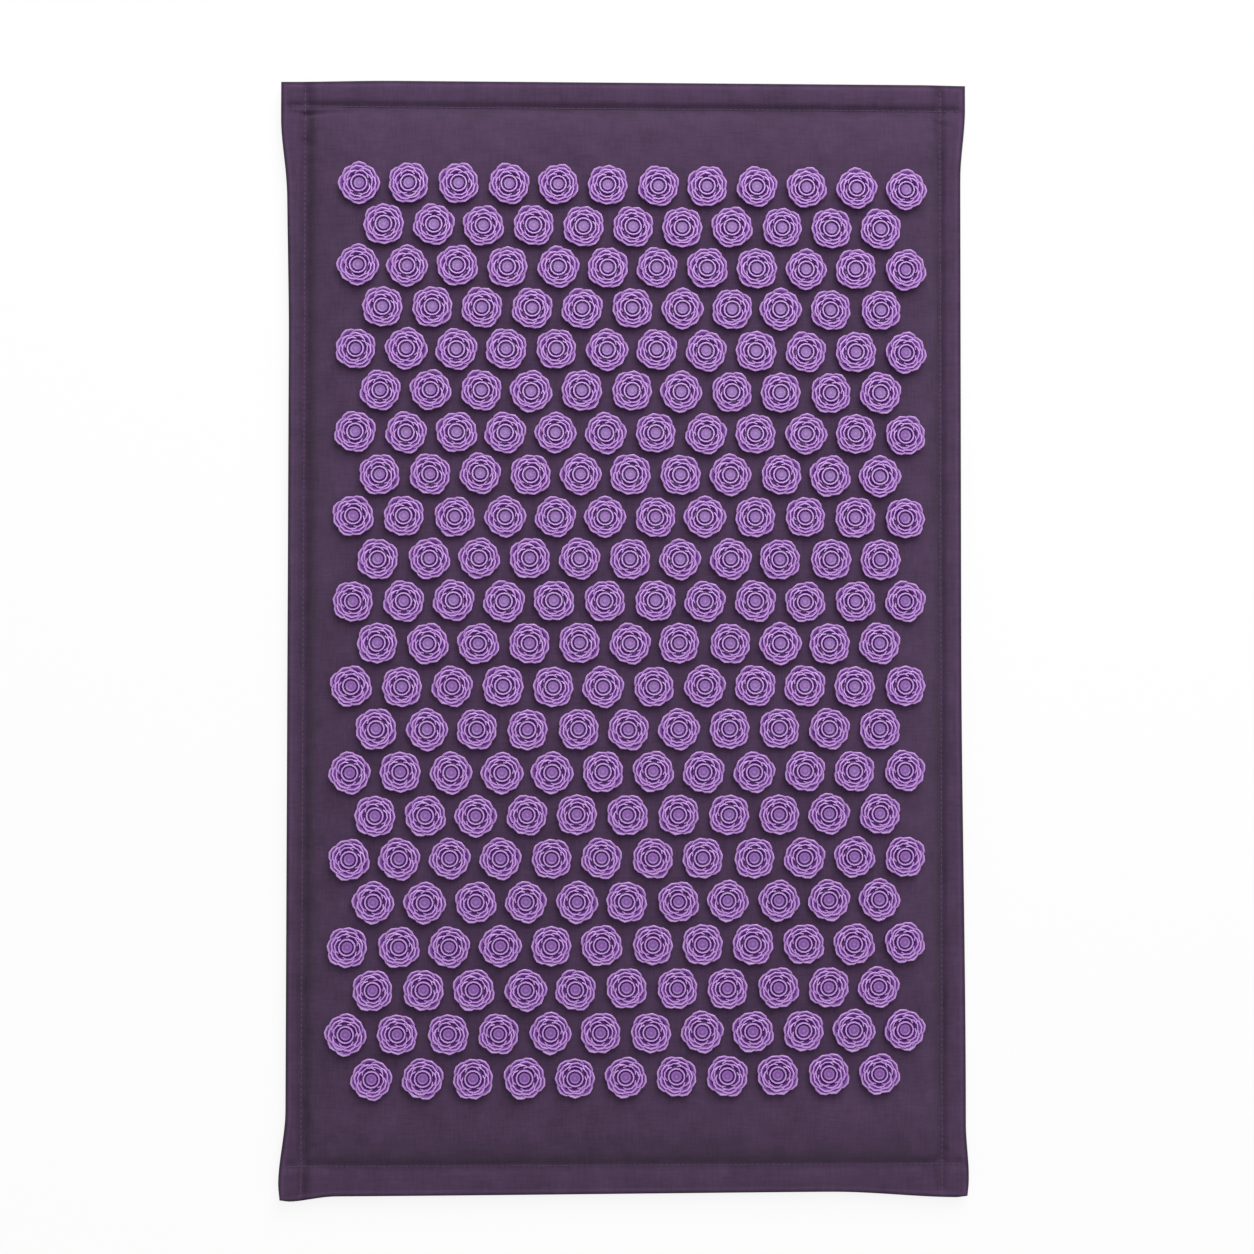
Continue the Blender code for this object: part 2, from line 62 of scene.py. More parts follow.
def add_object(name, data):
    """A new object that is linked to the scene."""
    obj = bpy.data.objects.new(name, data)
    bpy.context.scene.collection.objects.link(obj)
    return obj


camera_data = bpy.data.cameras.new("camera")
camera_data.sensor_width = 36.0
camera_data.lens = LENS
camera = add_object("camera", camera_data)
camera.location = CAMERA_PLACE
camera.rotation_euler = CAMERA_TURN
bpy.context.scene.camera = camera
bpy.context.scene.view_settings.view_transform = "Standard"
print("lens", LENS)

# %% [markdown]
# ## Shader helpers
# Materials are built in code. One helper adds a node and fills its sockets with numbers
# or links, and the others do what most materials here need.


# %% Node helpers
def fill(tree, node, values):
    """Fills a node's sockets. A value that is a socket is linked, and any other is set."""
    for name, value in values.items():
        if isinstance(value, bpy.types.NodeSocket):
            tree.links.new(value, node.inputs[name])
        else:
            node.inputs[name].default_value = value


def add_node(tree, kind, values=None, **settings):
    """Adds a shader node with its settings, and fills its sockets."""
    node = tree.nodes.new("ShaderNode" + kind)
    for name, value in settings.items():
        setattr(node, name, value)
    fill(tree, node, values or {})
    return node


def maths(tree, operation, *terms):
    """One maths node, and its result."""
    return add_node(tree, "Math", dict(enumerate(terms)), operation=operation).outputs[0]


def noise(tree, place, scale, detail):
    """The value of a noise texture."""
    values = {"Vector": place, "Scale": scale, "Detail": detail}
    return add_node(tree, "TexNoise", values).outputs["Fac"]


def own_place(tree):
    """The point that is shaded, in the piece's own coordinates."""
    return add_node(tree, "TexCoord").outputs["Object"]


def start_material(name, colour, roughness):
    """A material with a Principled shader, a colour and a roughness."""
    material = bpy.data.materials.new(name)
    material.use_nodes = True
    material.diffuse_color = (*colour, 1.0)
    tree = material.node_tree
    shader = tree.nodes["Principled BSDF"]
    fill(tree, shader, {"Base Color": (*colour, 1.0), "Roughness": roughness})
    return material, tree, shader


def tint(tree, colour, tone):
    """A colour, made darker or paler by a tone."""
    return add_node(tree, "VectorMath", {0: colour, "Scale": tone}, operation="SCALE").outputs[0]


def add_ramp(tree, value, low, high):
    """A colour that runs from one to another by a value, and the node."""
    ramp = add_node(tree, "ValToRGB", {"Fac": value})
    ramp.color_ramp.elements[0].color = (*low, 1)
    ramp.color_ramp.elements[1].color = (*high, 1)
    return ramp.outputs["Color"], ramp


def bump(tree, height, strength, distance):
    """The normal of a surface that follows a height."""
    values = {"Height": height, "Strength": strength, "Distance": distance}
    return add_node(tree, "Bump", values).outputs[0]

# %% [markdown]
# ## The floor, the light and the background
# The mat lies on a white sheet under soft light from overhead, a little stronger from
# the head end and the right. The floor is partly self-lit where the camera sees it, so
# that it stays white and still takes a faint shadow.


# %% Floor and world
def seen_directly(tree):
    """1 for what the camera sees, also in a mirror or through glass."""
    path = add_node(tree, "LightPath").outputs
    seen = maths(tree, "MAXIMUM", path["Is Camera Ray"], path["Is Glossy Ray"])
    return maths(tree, "MAXIMUM", seen, path["Is Transmission Ray"])


def finished_mesh(name, bm):
    """A mesh that is made from a bmesh. The bmesh is freed."""
    mesh = bpy.data.meshes.new(name)
    bm.to_mesh(mesh)
    bm.free()
    return mesh


FLOOR_GLOW = 0.86
WORLD_LIGHT = 0.36
FLOOR_SIZE = 8.0
FLOOR_DROP = 0.0002

floor_material, tree, shader = start_material("white_floor", (0.93, 0.93, 0.93), 0.9)
glow = add_node(tree, "Emission", {"Strength": 1.0})
share = maths(tree, "MULTIPLY", seen_directly(tree), FLOOR_GLOW)
mix = add_node(tree, "MixShader", {0: share, 1: shader.outputs[0], 2: glow.outputs[0]})
output = tree.nodes["Material Output"]
tree.links.new(mix.outputs[0], output.inputs["Surface"])

bm = bmesh.new()
bmesh.ops.create_grid(bm, x_segments=1, y_segments=1, size=FLOOR_SIZE)
bmesh.ops.translate(bm, verts=bm.verts, vec=(0, 0, -FLOOR_DROP))
floor_mesh = finished_mesh("floor", bm)
floor_mesh.materials.append(floor_material)
floor = add_object("floor", floor_mesh)

world = bpy.data.worlds.new("studio")
bpy.context.scene.world = world
world.use_nodes = True
tree = world.node_tree
background = tree.nodes["Background"]
background.inputs["Color"].default_value = (1, 1, 1, 1)
strength = maths(tree, "MULTIPLY_ADD", seen_directly(tree), 1 - WORLD_LIGHT, WORLD_LIGHT)
tree.links.new(strength, background.inputs["Strength"])
print("world light", WORLD_LIGHT, "floor glow", FLOOR_GLOW)


# %% Lamps
def add_lamp(name, place, size, power):
    """A square softbox that looks at the middle of the mat."""
    data = bpy.data.lights.new(name, "AREA")
    data.shape = "SQUARE"
    data.size = size
    data.energy = power
    lamp = add_object(name, data)
    lamp.location = place
    lamp.rotation_euler = (-Vector(place)).to_track_quat("-Z", "Y").to_euler()


add_lamp("overhead", (0.15, 0.70, 2.2), 1.5, 24)
add_lamp("head_end_right", (0.50, 1.70, 1.60), 1.5, 27)

# %% [markdown]
# ## The cloth material
# The cover is a plain weave, a checker of threads that pass over and under each other:
# the product of two sine waves. From a step away only the slubs show, which are threads
# that are thicker and paler for a few centimetres: noise, stretched along one thread
# direction and then along the other. A weak noise bends the threads. The cover, its
# lining and the zip tapes share this group, each with its own values.

# %% Weave group
# Scales of the slubs' noise along x and y, for the threads of one direction and the other
SLUB_SCALES = ((110.0, 780.0), (850.0, 95.0))
CHECKER_HEIGHT = 0.3
SLUB_HEIGHT = 1.5


def stretched_noise(tree, place, scale_x, scale_y):
    """Noise that is drawn out, so that it runs along threads."""
    scaled = add_node(tree, "Mapping", {"Vector": place, "Scale": (scale_x, scale_y, 60.0)})
    return noise(tree, scaled.outputs[0], 1.0, 2.0)


weave = bpy.data.node_groups.new("weave", "ShaderNodeTree")
weave.interface.new_socket("Place", in_out="INPUT", socket_type="NodeSocketVector")
for way, labels in (("INPUT", ("Thread spacing", "Slub size")), ("OUTPUT", ("Height", "Shade", "Gap"))):
    for label in labels:
        weave.interface.new_socket(label, in_out=way, socket_type="NodeSocketFloat")
given = weave.nodes.new("NodeGroupInput")
result = weave.nodes.new("NodeGroupOutput")
place = given.outputs["Place"]
wobble = add_node(weave, "TexNoise", {"Vector": place, "Scale": 45.0, "Detail": 2.0})
wobble = add_node(weave, "VectorMath", {0: wobble.outputs["Color"], "Scale": 0.0018}, operation="SCALE")
threads = add_node(weave, "VectorMath", {0: place, 1: wobble.outputs[0]}, operation="ADD")
axes = add_node(weave, "SeparateXYZ", {0: threads.outputs[0]}).outputs
turns = maths(weave, "DIVIDE", pi, given.outputs["Thread spacing"])
warp = maths(weave, "SINE", maths(weave, "MULTIPLY", axes["X"], turns))
weft = maths(weave, "SINE", maths(weave, "MULTIPLY", axes["Y"], turns))
checker = maths(weave, "MULTIPLY", warp, weft)
slub = maths(weave, "ADD", *[stretched_noise(weave, place, *scales) for scales in SLUB_SCALES])
slub = maths(weave, "MULTIPLY", maths(weave, "SUBTRACT", slub, 1.0), given.outputs["Slub size"])
height = maths(weave, "MULTIPLY", checker, CHECKER_HEIGHT)
height = maths(weave, "MULTIPLY_ADD", slub, SLUB_HEIGHT, height)
gap = maths(weave, "SUBTRACT", 1.0, maths(weave, "ABSOLUTE", checker))
gap = maths(weave, "POWER", gap, 4.0)
for label, value in (("Height", height), ("Shade", slub), ("Gap", gap)):
    weave.links.new(value, result.inputs[label])
print("weave sockets", [s.name for s in weave.interface.items_tree])

# %% Cloth materials
# The cloth's plain tone, and how much each other thing adds to it
PLAIN_TONE = 0.57
SLUB_TONE = 0.42
PATCH_TONE = 0.30
MOTTLE_TONE = 0.56
GAP_TONE = -0.02
# The weight of the painted light: a highlight along the hem, and shade at its edge and by the seams
PAINTED_LIGHT_TONE = 0.28


def cloth_material(name, colour, spacing, slub_size, depth, sheen, painted_light_attribute=None):
    """Woven cloth. A named attribute, where there is one, adds painted light along the hem and the seams.
    """
    material, tree, shader = start_material(name, colour, 0.92)
    place = own_place(tree)
    values = {"Place": place, "Thread spacing": spacing, "Slub size": slub_size}
    cloth = add_node(tree, "Group", values, node_tree=weave).outputs
    tone = maths(tree, "MULTIPLY_ADD", cloth["Shade"], SLUB_TONE, PLAIN_TONE)
    tone = maths(tree, "MULTIPLY_ADD", noise(tree, place, 9.0, 3.0), PATCH_TONE, tone)
    tone = maths(tree, "MULTIPLY_ADD", noise(tree, place, 70.0, 5.0), MOTTLE_TONE, tone)
    tone = maths(tree, "MULTIPLY_ADD", cloth["Gap"], GAP_TONE, tone)
    # Painted highlight and painted shade, carried by the cover's attribute
    if painted_light_attribute:
        wear_and_painted_light = add_node(tree, "Attribute", attribute_name=painted_light_attribute).outputs["Fac"]
        tone = maths(tree, "MULTIPLY_ADD", wear_and_painted_light, PAINTED_LIGHT_TONE, tone)
    normal = bump(tree, cloth["Height"], 0.35, depth)
    fill(tree, shader, {"Base Color": tint(tree, colour, tone), "Normal": normal})
    fill(tree, shader, {"Sheen Weight": sheen, "Sheen Roughness": 0.5, "Specular IOR Level": 0.2})
    return material


AUBERGINE = (0.0675, 0.0362, 0.0800)
GREY = (0.30, 0.28, 0.31)
TAPE_COLOUR = (0.060, 0.035, 0.070)
# The cover's attribute adds its painted highlight and painted shade
cover_cloth = cloth_material("aubergine_cloth", AUBERGINE, 0.0005, 1.0, 0.00018, 0.10, "wear_and_painted_light")
lining_cloth = cloth_material("grey_lining", GREY, 0.0004, 0.6, 0.0001, 0.0)
tape_cloth = cloth_material("zip_tape_weave", TAPE_COLOUR, 0.0007, 0.3, 0.0002, 0.05)
print("cloth", cover_cloth.name, lining_cloth.name, tape_cloth.name)

# %% [markdown]
# ## The plastic, the thread, the foam and the metal
# The rosettes' thin rims get a painted highlight, and the hollows between the petals
# get painted shade. Each disc carries an attribute that says how near a point is to a
# rim, and the painted colour follows it. Thread is twisted, foam has pores, and metal
# is bright at its edges.

# %% Other materials
VIOLET = (0.162, 0.050, 0.280)
# Painted light of the rosettes: a highlight colour for the rims and a shade colour for the hollows
HIGHLIGHT_VIOLET = (0.608, 0.340, 0.762)
SHADE_VIOLET = (0.112, 0.028, 0.200)
THREAD_COLOUR = (0.080, 0.046, 0.094)
FOAM_COLOUR = (0.72, 0.69, 0.60)
PORE_COLOUR = (0.50, 0.47, 0.38)
FOAM_SKIN = (0.74, 0.71, 0.62)
TOOTH_COLOUR = (0.050, 0.030, 0.060)


def rosette_material():
    """Satin violet plastic, with painted shade in the hollows and a painted highlight on the rims."""
    material, tree, shader = start_material("violet_plastic", VIOLET, 0.34)
    # The rim attribute sets the painted light, from shade in the hollows to highlight on the rims
    rim = add_node(tree, "Attribute", attribute_name="rim").outputs["Fac"]
    rim = maths(tree, "MULTIPLY_ADD", maths(tree, "POWER", rim, 2.2), 0.92, 0.06)
    colour, ramp = add_ramp(tree, rim, SHADE_VIOLET, HIGHLIGHT_VIOLET)
    ramp.color_ramp.elements.new(0.55).color = (*VIOLET, 1)
    place = own_place(tree)
    rough = maths(tree, "MULTIPLY_ADD", noise(tree, place, 120.0, 3.0), 0.25, 0.15)
    normal = bump(tree, noise(tree, place, 900.0, 2.0), 0.25, 0.0001)
    fill(tree, shader, {"Base Color": colour, "Roughness": rough, "Normal": normal})
    fill(tree, shader, {"Specular IOR Level": 0.42})
    return material


def thread_material():
    """Spun thread: fine slanting ridges from its twist."""
    material, tree, shader = start_material("aubergine_thread", THREAD_COLOUR, 0.85)
    values = {"Vector": own_place(tree), "Rotation": (0, 0, radians(38))}
    slanted = add_node(tree, "Mapping", values).outputs[0]
    ridges = add_node(tree, "TexWave", {"Vector": slanted, "Scale": 900.0}).outputs["Fac"]
    colour = tint(tree, THREAD_COLOUR, maths(tree, "MULTIPLY_ADD", ridges, 0.4, 0.8))
    normal = bump(tree, ridges, 0.5, 0.0002)
    fill(tree, shader, {"Base Color": colour, "Normal": normal, "Sheen Weight": 0.15})
    return material


def foam_material():
    """Open-cell foam: pale, with pores of about a millimetre."""
    material, tree, shader = start_material("cream_foam", FOAM_COLOUR, 0.95)
    pores = add_node(tree, "TexVoronoi", {"Vector": own_place(tree), "Scale": 900.0})
    values = {"Value": pores.outputs["Distance"], "From Max": 0.5}
    depth = add_node(tree, "MapRange", values).outputs[0]
    colour = add_ramp(tree, depth, PORE_COLOUR, FOAM_SKIN)[0]
    fill(tree, shader, {"Base Color": colour, "Normal": bump(tree, depth, 0.6, 0.0004)})
    return material


def hard_material(name, colour, roughness, metallic, scale):
    """Moulded teeth or plated metal: a fine grain, and a roughness that clouds over it."""
    material, tree, shader = start_material(name, colour, roughness)
    cloud = noise(tree, own_place(tree), scale, 4.0)
    rough = maths(tree, "MULTIPLY_ADD", cloud, 0.3, roughness - 0.15)
    wear_and_painted_light = add_node(tree, "NewGeometry").outputs["Pointiness"]
    values = {"Value": wear_and_painted_light, "From Min": 0.50, "From Max": 0.60}
    edge = add_node(tree, "MapRange", values).outputs[0]
    tone = maths(tree, "MULTIPLY_ADD", edge, 0.8, 0.9)
    colour = tint(tree, colour, maths(tree, "MULTIPLY_ADD", cloud, 0.2, tone))
    fill(tree, shader, {"Base Color": colour, "Metallic": metallic, "Roughness": rough})
    fill(tree, shader, {"Normal": bump(tree, cloud, 0.15, 0.0001)})
    return material


violet_plastic = rosette_material()
sewing_thread = thread_material()
cream_foam = foam_material()
tooth_plastic = hard_material("tooth_plastic", TOOTH_COLOUR, 0.45, 0.0, 1500.0)
dark_metal = hard_material("dark_metal", GREY, 0.35, 1.0, 700.0)
print("materials", len(bpy.data.materials))

# %% [markdown]
# ## The mat's outline and its surface
# The cover is sewn flat and then filled, so its sides are drawn in and its corners stay
# out as small ears, each with its own reach. Every piece on the cloth is placed with the
# same few functions, so nothing floats and nothing sinks.

# %% Sizes of the mat
HALF_WIDTH = 0.210
HALF_LENGTH = 0.340
SEAM_X = 0.192
SEAM_Y = 0.3195
PAD_SHIFT_Y = 0.0028
SEAM_HEIGHT = 0.009
PAD_RISE = 0.009
PAD_CROWN = 0.0015
SHOULDER = 0.009
UNDER_BAND = 0.036
CLOTH = 0.001
FIT = 0.0003
STITCH_OUTSIDE = 0.0025
STITCH_X = SEAM_X + STITCH_OUTSIDE
STITCH_Y = SEAM_Y + STITCH_OUTSIDE
CORNER_ROUNDING = 0.0010
FLANGE_TOP = SEAM_HEIGHT + FIT / 2 + CLOTH
FLANGE_UNDER = SEAM_HEIGHT - FIT / 2 - CLOTH
LEFT_WAIST = 0.2047
RIGHT_WAIST = 0.2059
FOOT_REACH = 0.3362
HEAD_REACH = 0.3407
print("flange", round((FLANGE_TOP - FLANGE_UNDER) * 1000, 2), "mm thick")


# %% Outline
def limited(share):
    """A share, kept between 0 and 1."""
    return min(max(share, 0.0), 1.0)


def fade(distance, full, none):
    """1 up to a distance, and then smoothly down to 0 at another."""
    share = limited((distance - full) / (none - full))
    return 1 - share * share * (3 - 2 * share)


def side_edge(y, side):
    """How far the edge lies from the middle line at y, on the left (-1) or right (1).

    An ear is its reach, times a fade from the distance where it is full to where it ends."""
    head = HALF_LENGTH - y
    foot = HALF_LENGTH + y
    if side < 0:
        ear = 0.0038 * fade(head, 0.022, 0.070) + 0.0015 * fade(head, 0.050, 0.160)
        return LEFT_WAIST + ear + 0.0042 * fade(foot, 0.010, 0.055)
    spread = 0.0022 * (1 - fade(-y, 0.0, 0.280))
    ears = 0.0030 * fade(head, 0.014, 0.058) + 0.0017 * fade(foot, 0.014, 0.045)
    return RIGHT_WAIST + spread + ears


def end_edge(x, end):
    """How far the edge lies from the middle at x, at the foot (-1) or head (1) end."""
    left = HALF_WIDTH + x
    right = HALF_WIDTH - x
    if end > 0:
        return HEAD_REACH - 0.0012 * fade(left, 0.0, 0.070) - 0.0004 * fade(right, 0.0, 0.030)
    lean = 0.0008 * sin(x / HALF_WIDTH * pi / 2)
    return FOOT_REACH - lean + 0.0030 * fade(left, 0.006, 0.036) + 0.0038 * fade(right, 0.005, 0.085)


def laid_out(x, y):
    """Moves a point of the plain rectangle onto the cover's real outline."""
    side = 1 if x > 0 else -1
    end = 1 if y > 0 else -1
    out_x = max(abs(x) - SEAM_X, 0.0) / (HALF_WIDTH - SEAM_X)
    seam_y = SEAM_Y + end * PAD_SHIFT_Y
    out_y = max(abs(y) - seam_y, 0.0) / (HALF_LENGTH - seam_y)
    rounding = CORNER_ROUNDING * max(out_x + out_y - 1.6, 0.0) / 0.4 if end < 0 else 0.0
    new_x = x + side * (out_x * (side_edge(y, side) - HALF_WIDTH) - rounding)
    new_y = y + end * (out_y * (end_edge(x, end) - HALF_LENGTH) - rounding)
    return new_x, new_y


def inside_edge(x, y):
    """Distance from the nearest outer edge of the flange."""
    across = side_edge(y, 1 if x > 0 else -1) - abs(x)
    along = end_edge(x, 1 if y > 0 else -1) - abs(y)
    return max(min(across, along), 0.0)


print("half width at the middle", side_edge(0, -1), side_edge(0, 1))


# %% Surface of the pad
def shoulder(distance):
    """The share of the pad's rise at a distance inside the seam."""
    return 1 - exp(-max(distance, 0.0) / SHOULDER)


def pad_top(x, y):
    """Height of the cover's top, before its creases."""
    shifted = y - PAD_SHIFT_Y
    rise = PAD_RISE * shoulder(SEAM_X - abs(x)) * shoulder(SEAM_Y - abs(shifted))
    crown = max(0.0, 1 - (x / SEAM_X) ** 2) * max(0.0, 1 - (shifted / SEAM_Y) ** 2)
    return FLANGE_TOP + rise + PAD_CROWN * crown


def settled(distance):
    return limited(distance / UNDER_BAND)


def pad_under(x, y):
    """Height of the cover's underside: on the floor, then up to the flange."""
    share = settled(SEAM_X - abs(x)) * settled(SEAM_Y - abs(y - PAD_SHIFT_Y))
    return FLANGE_UNDER * (1 - share)


def pad_normal(x, y):
    """Outward direction of the top at a point."""
    step = 0.0005
    slope_x = (pad_top(x + step, y) - pad_top(x - step, y)) / (2 * step)
    slope_y = (pad_top(x, y + step) - pad_top(x, y - step)) / (2 * step)
    return Vector((-slope_x, -slope_y, 1.0)).normalized()


print("pad top", round(pad_top(0, 0) * 1000, 2), "mm")

# %% [markdown]
# ## Creases, seams and the hem
# A row of stitches pulls the cloth down into a narrow valley, and the seam allowance
# inside the flange makes it swell on either side. The outer edge is a turned hem. Near
# the corners a few folds run off the seams, and a helper adds them all up.


# %% Relief of the sewn cloth
VALLEY_INSIDE = 0.0042
VALLEY_OUTSIDE = 0.0022
VALLEY_DEPTH = 0.0027
SEAM_SHIFT_X = -0.0009
FLANGE_SWELL = 0.0008
HEM_ROLL = 0.0014
HEM_FADE = 0.0065
PUCKER_DEPTH = 0.0003
PUCKER_INSIDE = 0.003
PUCKER_WIDTH = 0.004
WAVE_HEIGHT = 0.00022
FOLDS = [
    # start x, start y, end x, end y, width, height in metres
    (-0.2060, 0.3226, -0.1660, 0.3232, 0.0013, 0.0018),
    (-0.2070, 0.3196, -0.1680, 0.3206, 0.0016, -0.0022),
    (-0.1985, 0.3050, -0.1880, 0.2990, 0.0026, -0.0016),
    (0.1850, 0.3195, 0.2020, 0.3140, 0.0016, -0.0010),
    (0.1800, 0.3230, 0.1980, 0.3190, 0.0018, 0.0006),
    (-0.1960, -0.3120, -0.1780, -0.3030, 0.0026, -0.0010),
    (-0.2030, -0.3300, -0.1930, -0.3190, 0.0020, -0.0006),
    (0.1900, -0.3060, 0.2000, -0.3150, 0.0020, -0.0008),
]


def bell(distance, width):
    """1 at no distance, and falling smoothly to nothing over a few widths."""
    return exp(-((distance / width) ** 2))


def fold_height(x, y):
    """The sum of all folds at a point."""
    total = 0.0
    point = Vector((x, y))
    for x0, y0, x1, y1, width, height in FOLDS:
        start = Vector((x0, y0))
        run = Vector((x1, y1)) - start
        share = limited((point - start).dot(run) / run.length_squared)
        away = (point - start - run * share).length
        taper = 1 - 0.75 * abs(2 * share - 1) ** 2
        total += height * taper * bell(away, width)
    return total


def valley_share(out):
    """The depth of a seam's valley, from 0 to 1. Its inner side is the wider one."""
    return bell(out, VALLEY_INSIDE if out < 0 else VALLEY_OUTSIDE)


def pucker(out, along, rate, drift):
    """Small gathers beside a seam, uneven along it."""
    gathers = max(sin(along * rate + 2 * sin(along * drift)), 0.0)
    return bell(out + PUCKER_INSIDE, PUCKER_WIDTH) * gathers


def seam_relief(x, y):
    """Valleys along the stitches, the swelling of the flange and the puckers."""
    out_x = abs(x - SEAM_SHIFT_X) - STITCH_X
    out_y = abs(y - PAD_SHIFT_Y) - STITCH_Y
    valley = valley_share(out_x) + valley_share(out_y)
    swell_x = sin(pi * limited(out_x / (HALF_WIDTH - STITCH_X)))
    swell_y = sin(pi * limited(out_y / (HALF_LENGTH - STITCH_Y)))
    relief = FLANGE_SWELL * min(swell_x + swell_y, 1.0) - VALLEY_DEPTH * min(valley, 1.3)
    return relief - PUCKER_DEPTH * (pucker(out_x, y, 330, 87) + pucker(out_y, x, 290, 71))


def hem_drop(x, y):
    """How far the rolled hem has turned over, from 0 to 1 at the very edge."""
    share = 1 - min(inside_edge(x, y) / HEM_ROLL, 1.0)
    return share * share


def off_hem(x, y):
    """0 at the outer edge and 1 a little inside it, where the seams have their full depth."""
    return 1 - fade(inside_edge(x, y), 0.0, HEM_FADE)


def cloth_waves(x, y):
    """Long slack waves in the flange and the margins."""
    wave = sin(x * 61 + 1.3 * sin(y * 23)) * sin(y * 47 + 0.9 * sin(x * 31))
    return WAVE_HEIGHT * wave


print("folds", len(FOLDS))

# %% [markdown]
# ## Grids that follow the seams
# Cloth needs narrow cells where it bends, at the shoulder, the stitches and the hem. A
# plain grid is made with the operator, and its lines are then moved to their stations.


# %% Grid helpers
SHOULDER_CELLS = 16
FLANGE_CELLS = 7
HEM_STATIONS = (0.0030, 0.0018, 0.0009, 0.0)


def spread(start, end, count):
    """Stations from a start up to an end, without the end."""
    return [start + (end - start) * i / count for i in range(count)]


def half_lines(seam, edge, inner_cells):
    """Stations from the middle line out to the edge of the flange."""
    shoulder_start = seam - UNDER_BAND
    lines = spread(0.0, shoulder_start, inner_cells)
    lines += spread(shoulder_start, seam, SHOULDER_CELLS)
    lines += spread(seam, edge - HEM_STATIONS[0], FLANGE_CELLS)
    return lines + [edge - inside for inside in HEM_STATIONS]


def both_sides(lower, upper):
    """Stations on both sides of the middle line. The lower ones are mirrored."""
    return [-line for line in reversed(lower[1:])] + upper


def mirrored(lines):
    return both_sides(lines, lines)


def along_lines(inner_cells):
    """Stations along the mat: the two ends lie unlike distances from the middle."""
    return both_sides(*[
        half_lines(seam, HALF_LENGTH, inner_cells) for seam in (SEAM_Y - PAD_SHIFT_Y, SEAM_Y + PAD_SHIFT_Y)
    ])


def grid_mesh(bm, xs, ys):
    """A grid whose lines lie at the given stations."""
    bmesh.ops.create_grid(bm, x_segments=len(xs) - 1, y_segments=len(ys) - 1, size=1.0)
    for vert in bm.verts:
        column = round((vert.co.x + 1) / 2 * (len(xs) - 1))
        row = round((vert.co.y + 1) / 2 * (len(ys) - 1))
        vert.co = (xs[column], ys[row], 0.0)


def extruded(bm, faces):
    """Doubles a sheet into a closed shell, and gives the vertices of its new side."""
    grown = bmesh.ops.extrude_face_region(bm, geom=faces)["geom"]
    return [item for item in grown if isinstance(item, bmesh.types.BMVert)]


def bevelled(bm, edges, offset, segments):
    """Takes off some edges, and gives the vertices of the result."""
    return bmesh.ops.bevel(
        bm, geom=edges, offset=offset, segments=segments, profile=0.5, affect="EDGES", material=-1
    )["verts"]


def make_piece(name, bm, material, smooth_angle=None):
    """Turns a bmesh into a linked object at the origin, shaded smooth."""
    mesh = finished_mesh(name, bm)
    mesh.materials.append(material)
    mesh.shade_smooth()
    if smooth_angle is not None:
        mesh.set_sharp_from_angle(angle=radians(smooth_angle))
    return add_object(name, mesh)


def declare(piece, node, body="mat"):
    """Hangs a piece on the body that carries it, and hides the solid that it stands for."""
    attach(piece, body)
    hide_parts(node)


def applied(obj):
    """Applies an object's modifiers to its mesh."""
    graph = bpy.context.evaluated_depsgraph_get()
    graph.update()
    mesh = bpy.data.meshes.new_from_object(obj.evaluated_get(graph))
    old = obj.data
    obj.modifiers.clear()
    obj.data = mesh
    bpy.data.meshes.remove(old)


cover_xs = mirrored(half_lines(SEAM_X, HALF_WIDTH, 20))
cover_ys = along_lines(36)
print("cover grid", len(cover_xs), "by", len(cover_ys))

# %% [markdown]
# ## Where the rosettes stand
# Long rows of twelve and short rows of eleven take turns, half a pitch apart. The same
# places serve the discs and the points where the cloth is held down.

# %% Rosette places
ROW_COUNT = 22
LONG_ROW = 12
ROSETTE_PITCH = 0.0303
ROW_PITCH = 0.0256
FIELD_SHIFT_X = 0.0024
FIELD_SHIFT_Y = 0.0096
PITCH_GAIN = 0.00066
ROW_GAIN = 0.00146
ROW_DRIFT = -0.00018
ROW_LEAN = 0.0011
ROW_LEAN_GAIN = 0.0006


def row_places(row):
    """Centres of the rosettes in a row, numbered from the head end."""
    count = LONG_ROW - row % 2
    along = row - (ROW_COUNT - 1) / 2
    pitch = ROSETTE_PITCH * (1 + PITCH_GAIN * along)
    start = FIELD_SHIFT_X + ROW_DRIFT * along - (count - 1) / 2 * pitch
    middle_y = FIELD_SHIFT_Y - ROW_PITCH * along * (1 + ROW_GAIN * along)
    lean = ROW_LEAN + ROW_LEAN_GAIN * along
    return [(start + i * pitch, middle_y + (start + i * pitch) * lean) for i in range(count)]


field = KDTree(ROW_COUNT * LONG_ROW)
for row in range(ROW_COUNT):
    for x, y in row_places(row):
        field.insert((x, y, 0.0), row)
field.balance()


def near_rosette(x, y):
    """Distance from the nearest rosette's centre."""
    return field.find((x, y, 0.0))[2]


print("rosettes", sum(len(row_places(row)) for row in range(ROW_COUNT)))

# %% [markdown]
# ## The front cover
# The foam pushes the front sheet up between the places that hold it, which are the
# seams and the discs. A cloth simulation gives that swelling, by a light pressure, and
# the lift levels off, so that the sheet stays clear of the petals. Then come one
# subdivision, the creases and seams, and a thickness.

# %% Settle the front cover
PIN_RADIUS = 0.0105
LIFT_CAP = 0.0016
SIDE_CAP = 0.001
SWELLING = {
    "quality": 5, "mass": 0.12, "tension_stiffness": 12.0, "compression_stiffness": 12.0,
    "bending_stiffness": 0.6, "vertex_group_mass": "held", "shrink_min": -0.012,
    "use_pressure": True, "uniform_pressure_force": 4.0,
}
COVER_THICKNESS = 0.0009


def held_down(x, y):
    """Whether the cloth is pinned: on the flange, or under a disc."""
    on_flange = abs(x) > SEAM_X - 0.001 or abs(y - PAD_SHIFT_Y) > SEAM_Y - 0.001
    return on_flange or near_rosette(x, y) < PIN_RADIUS


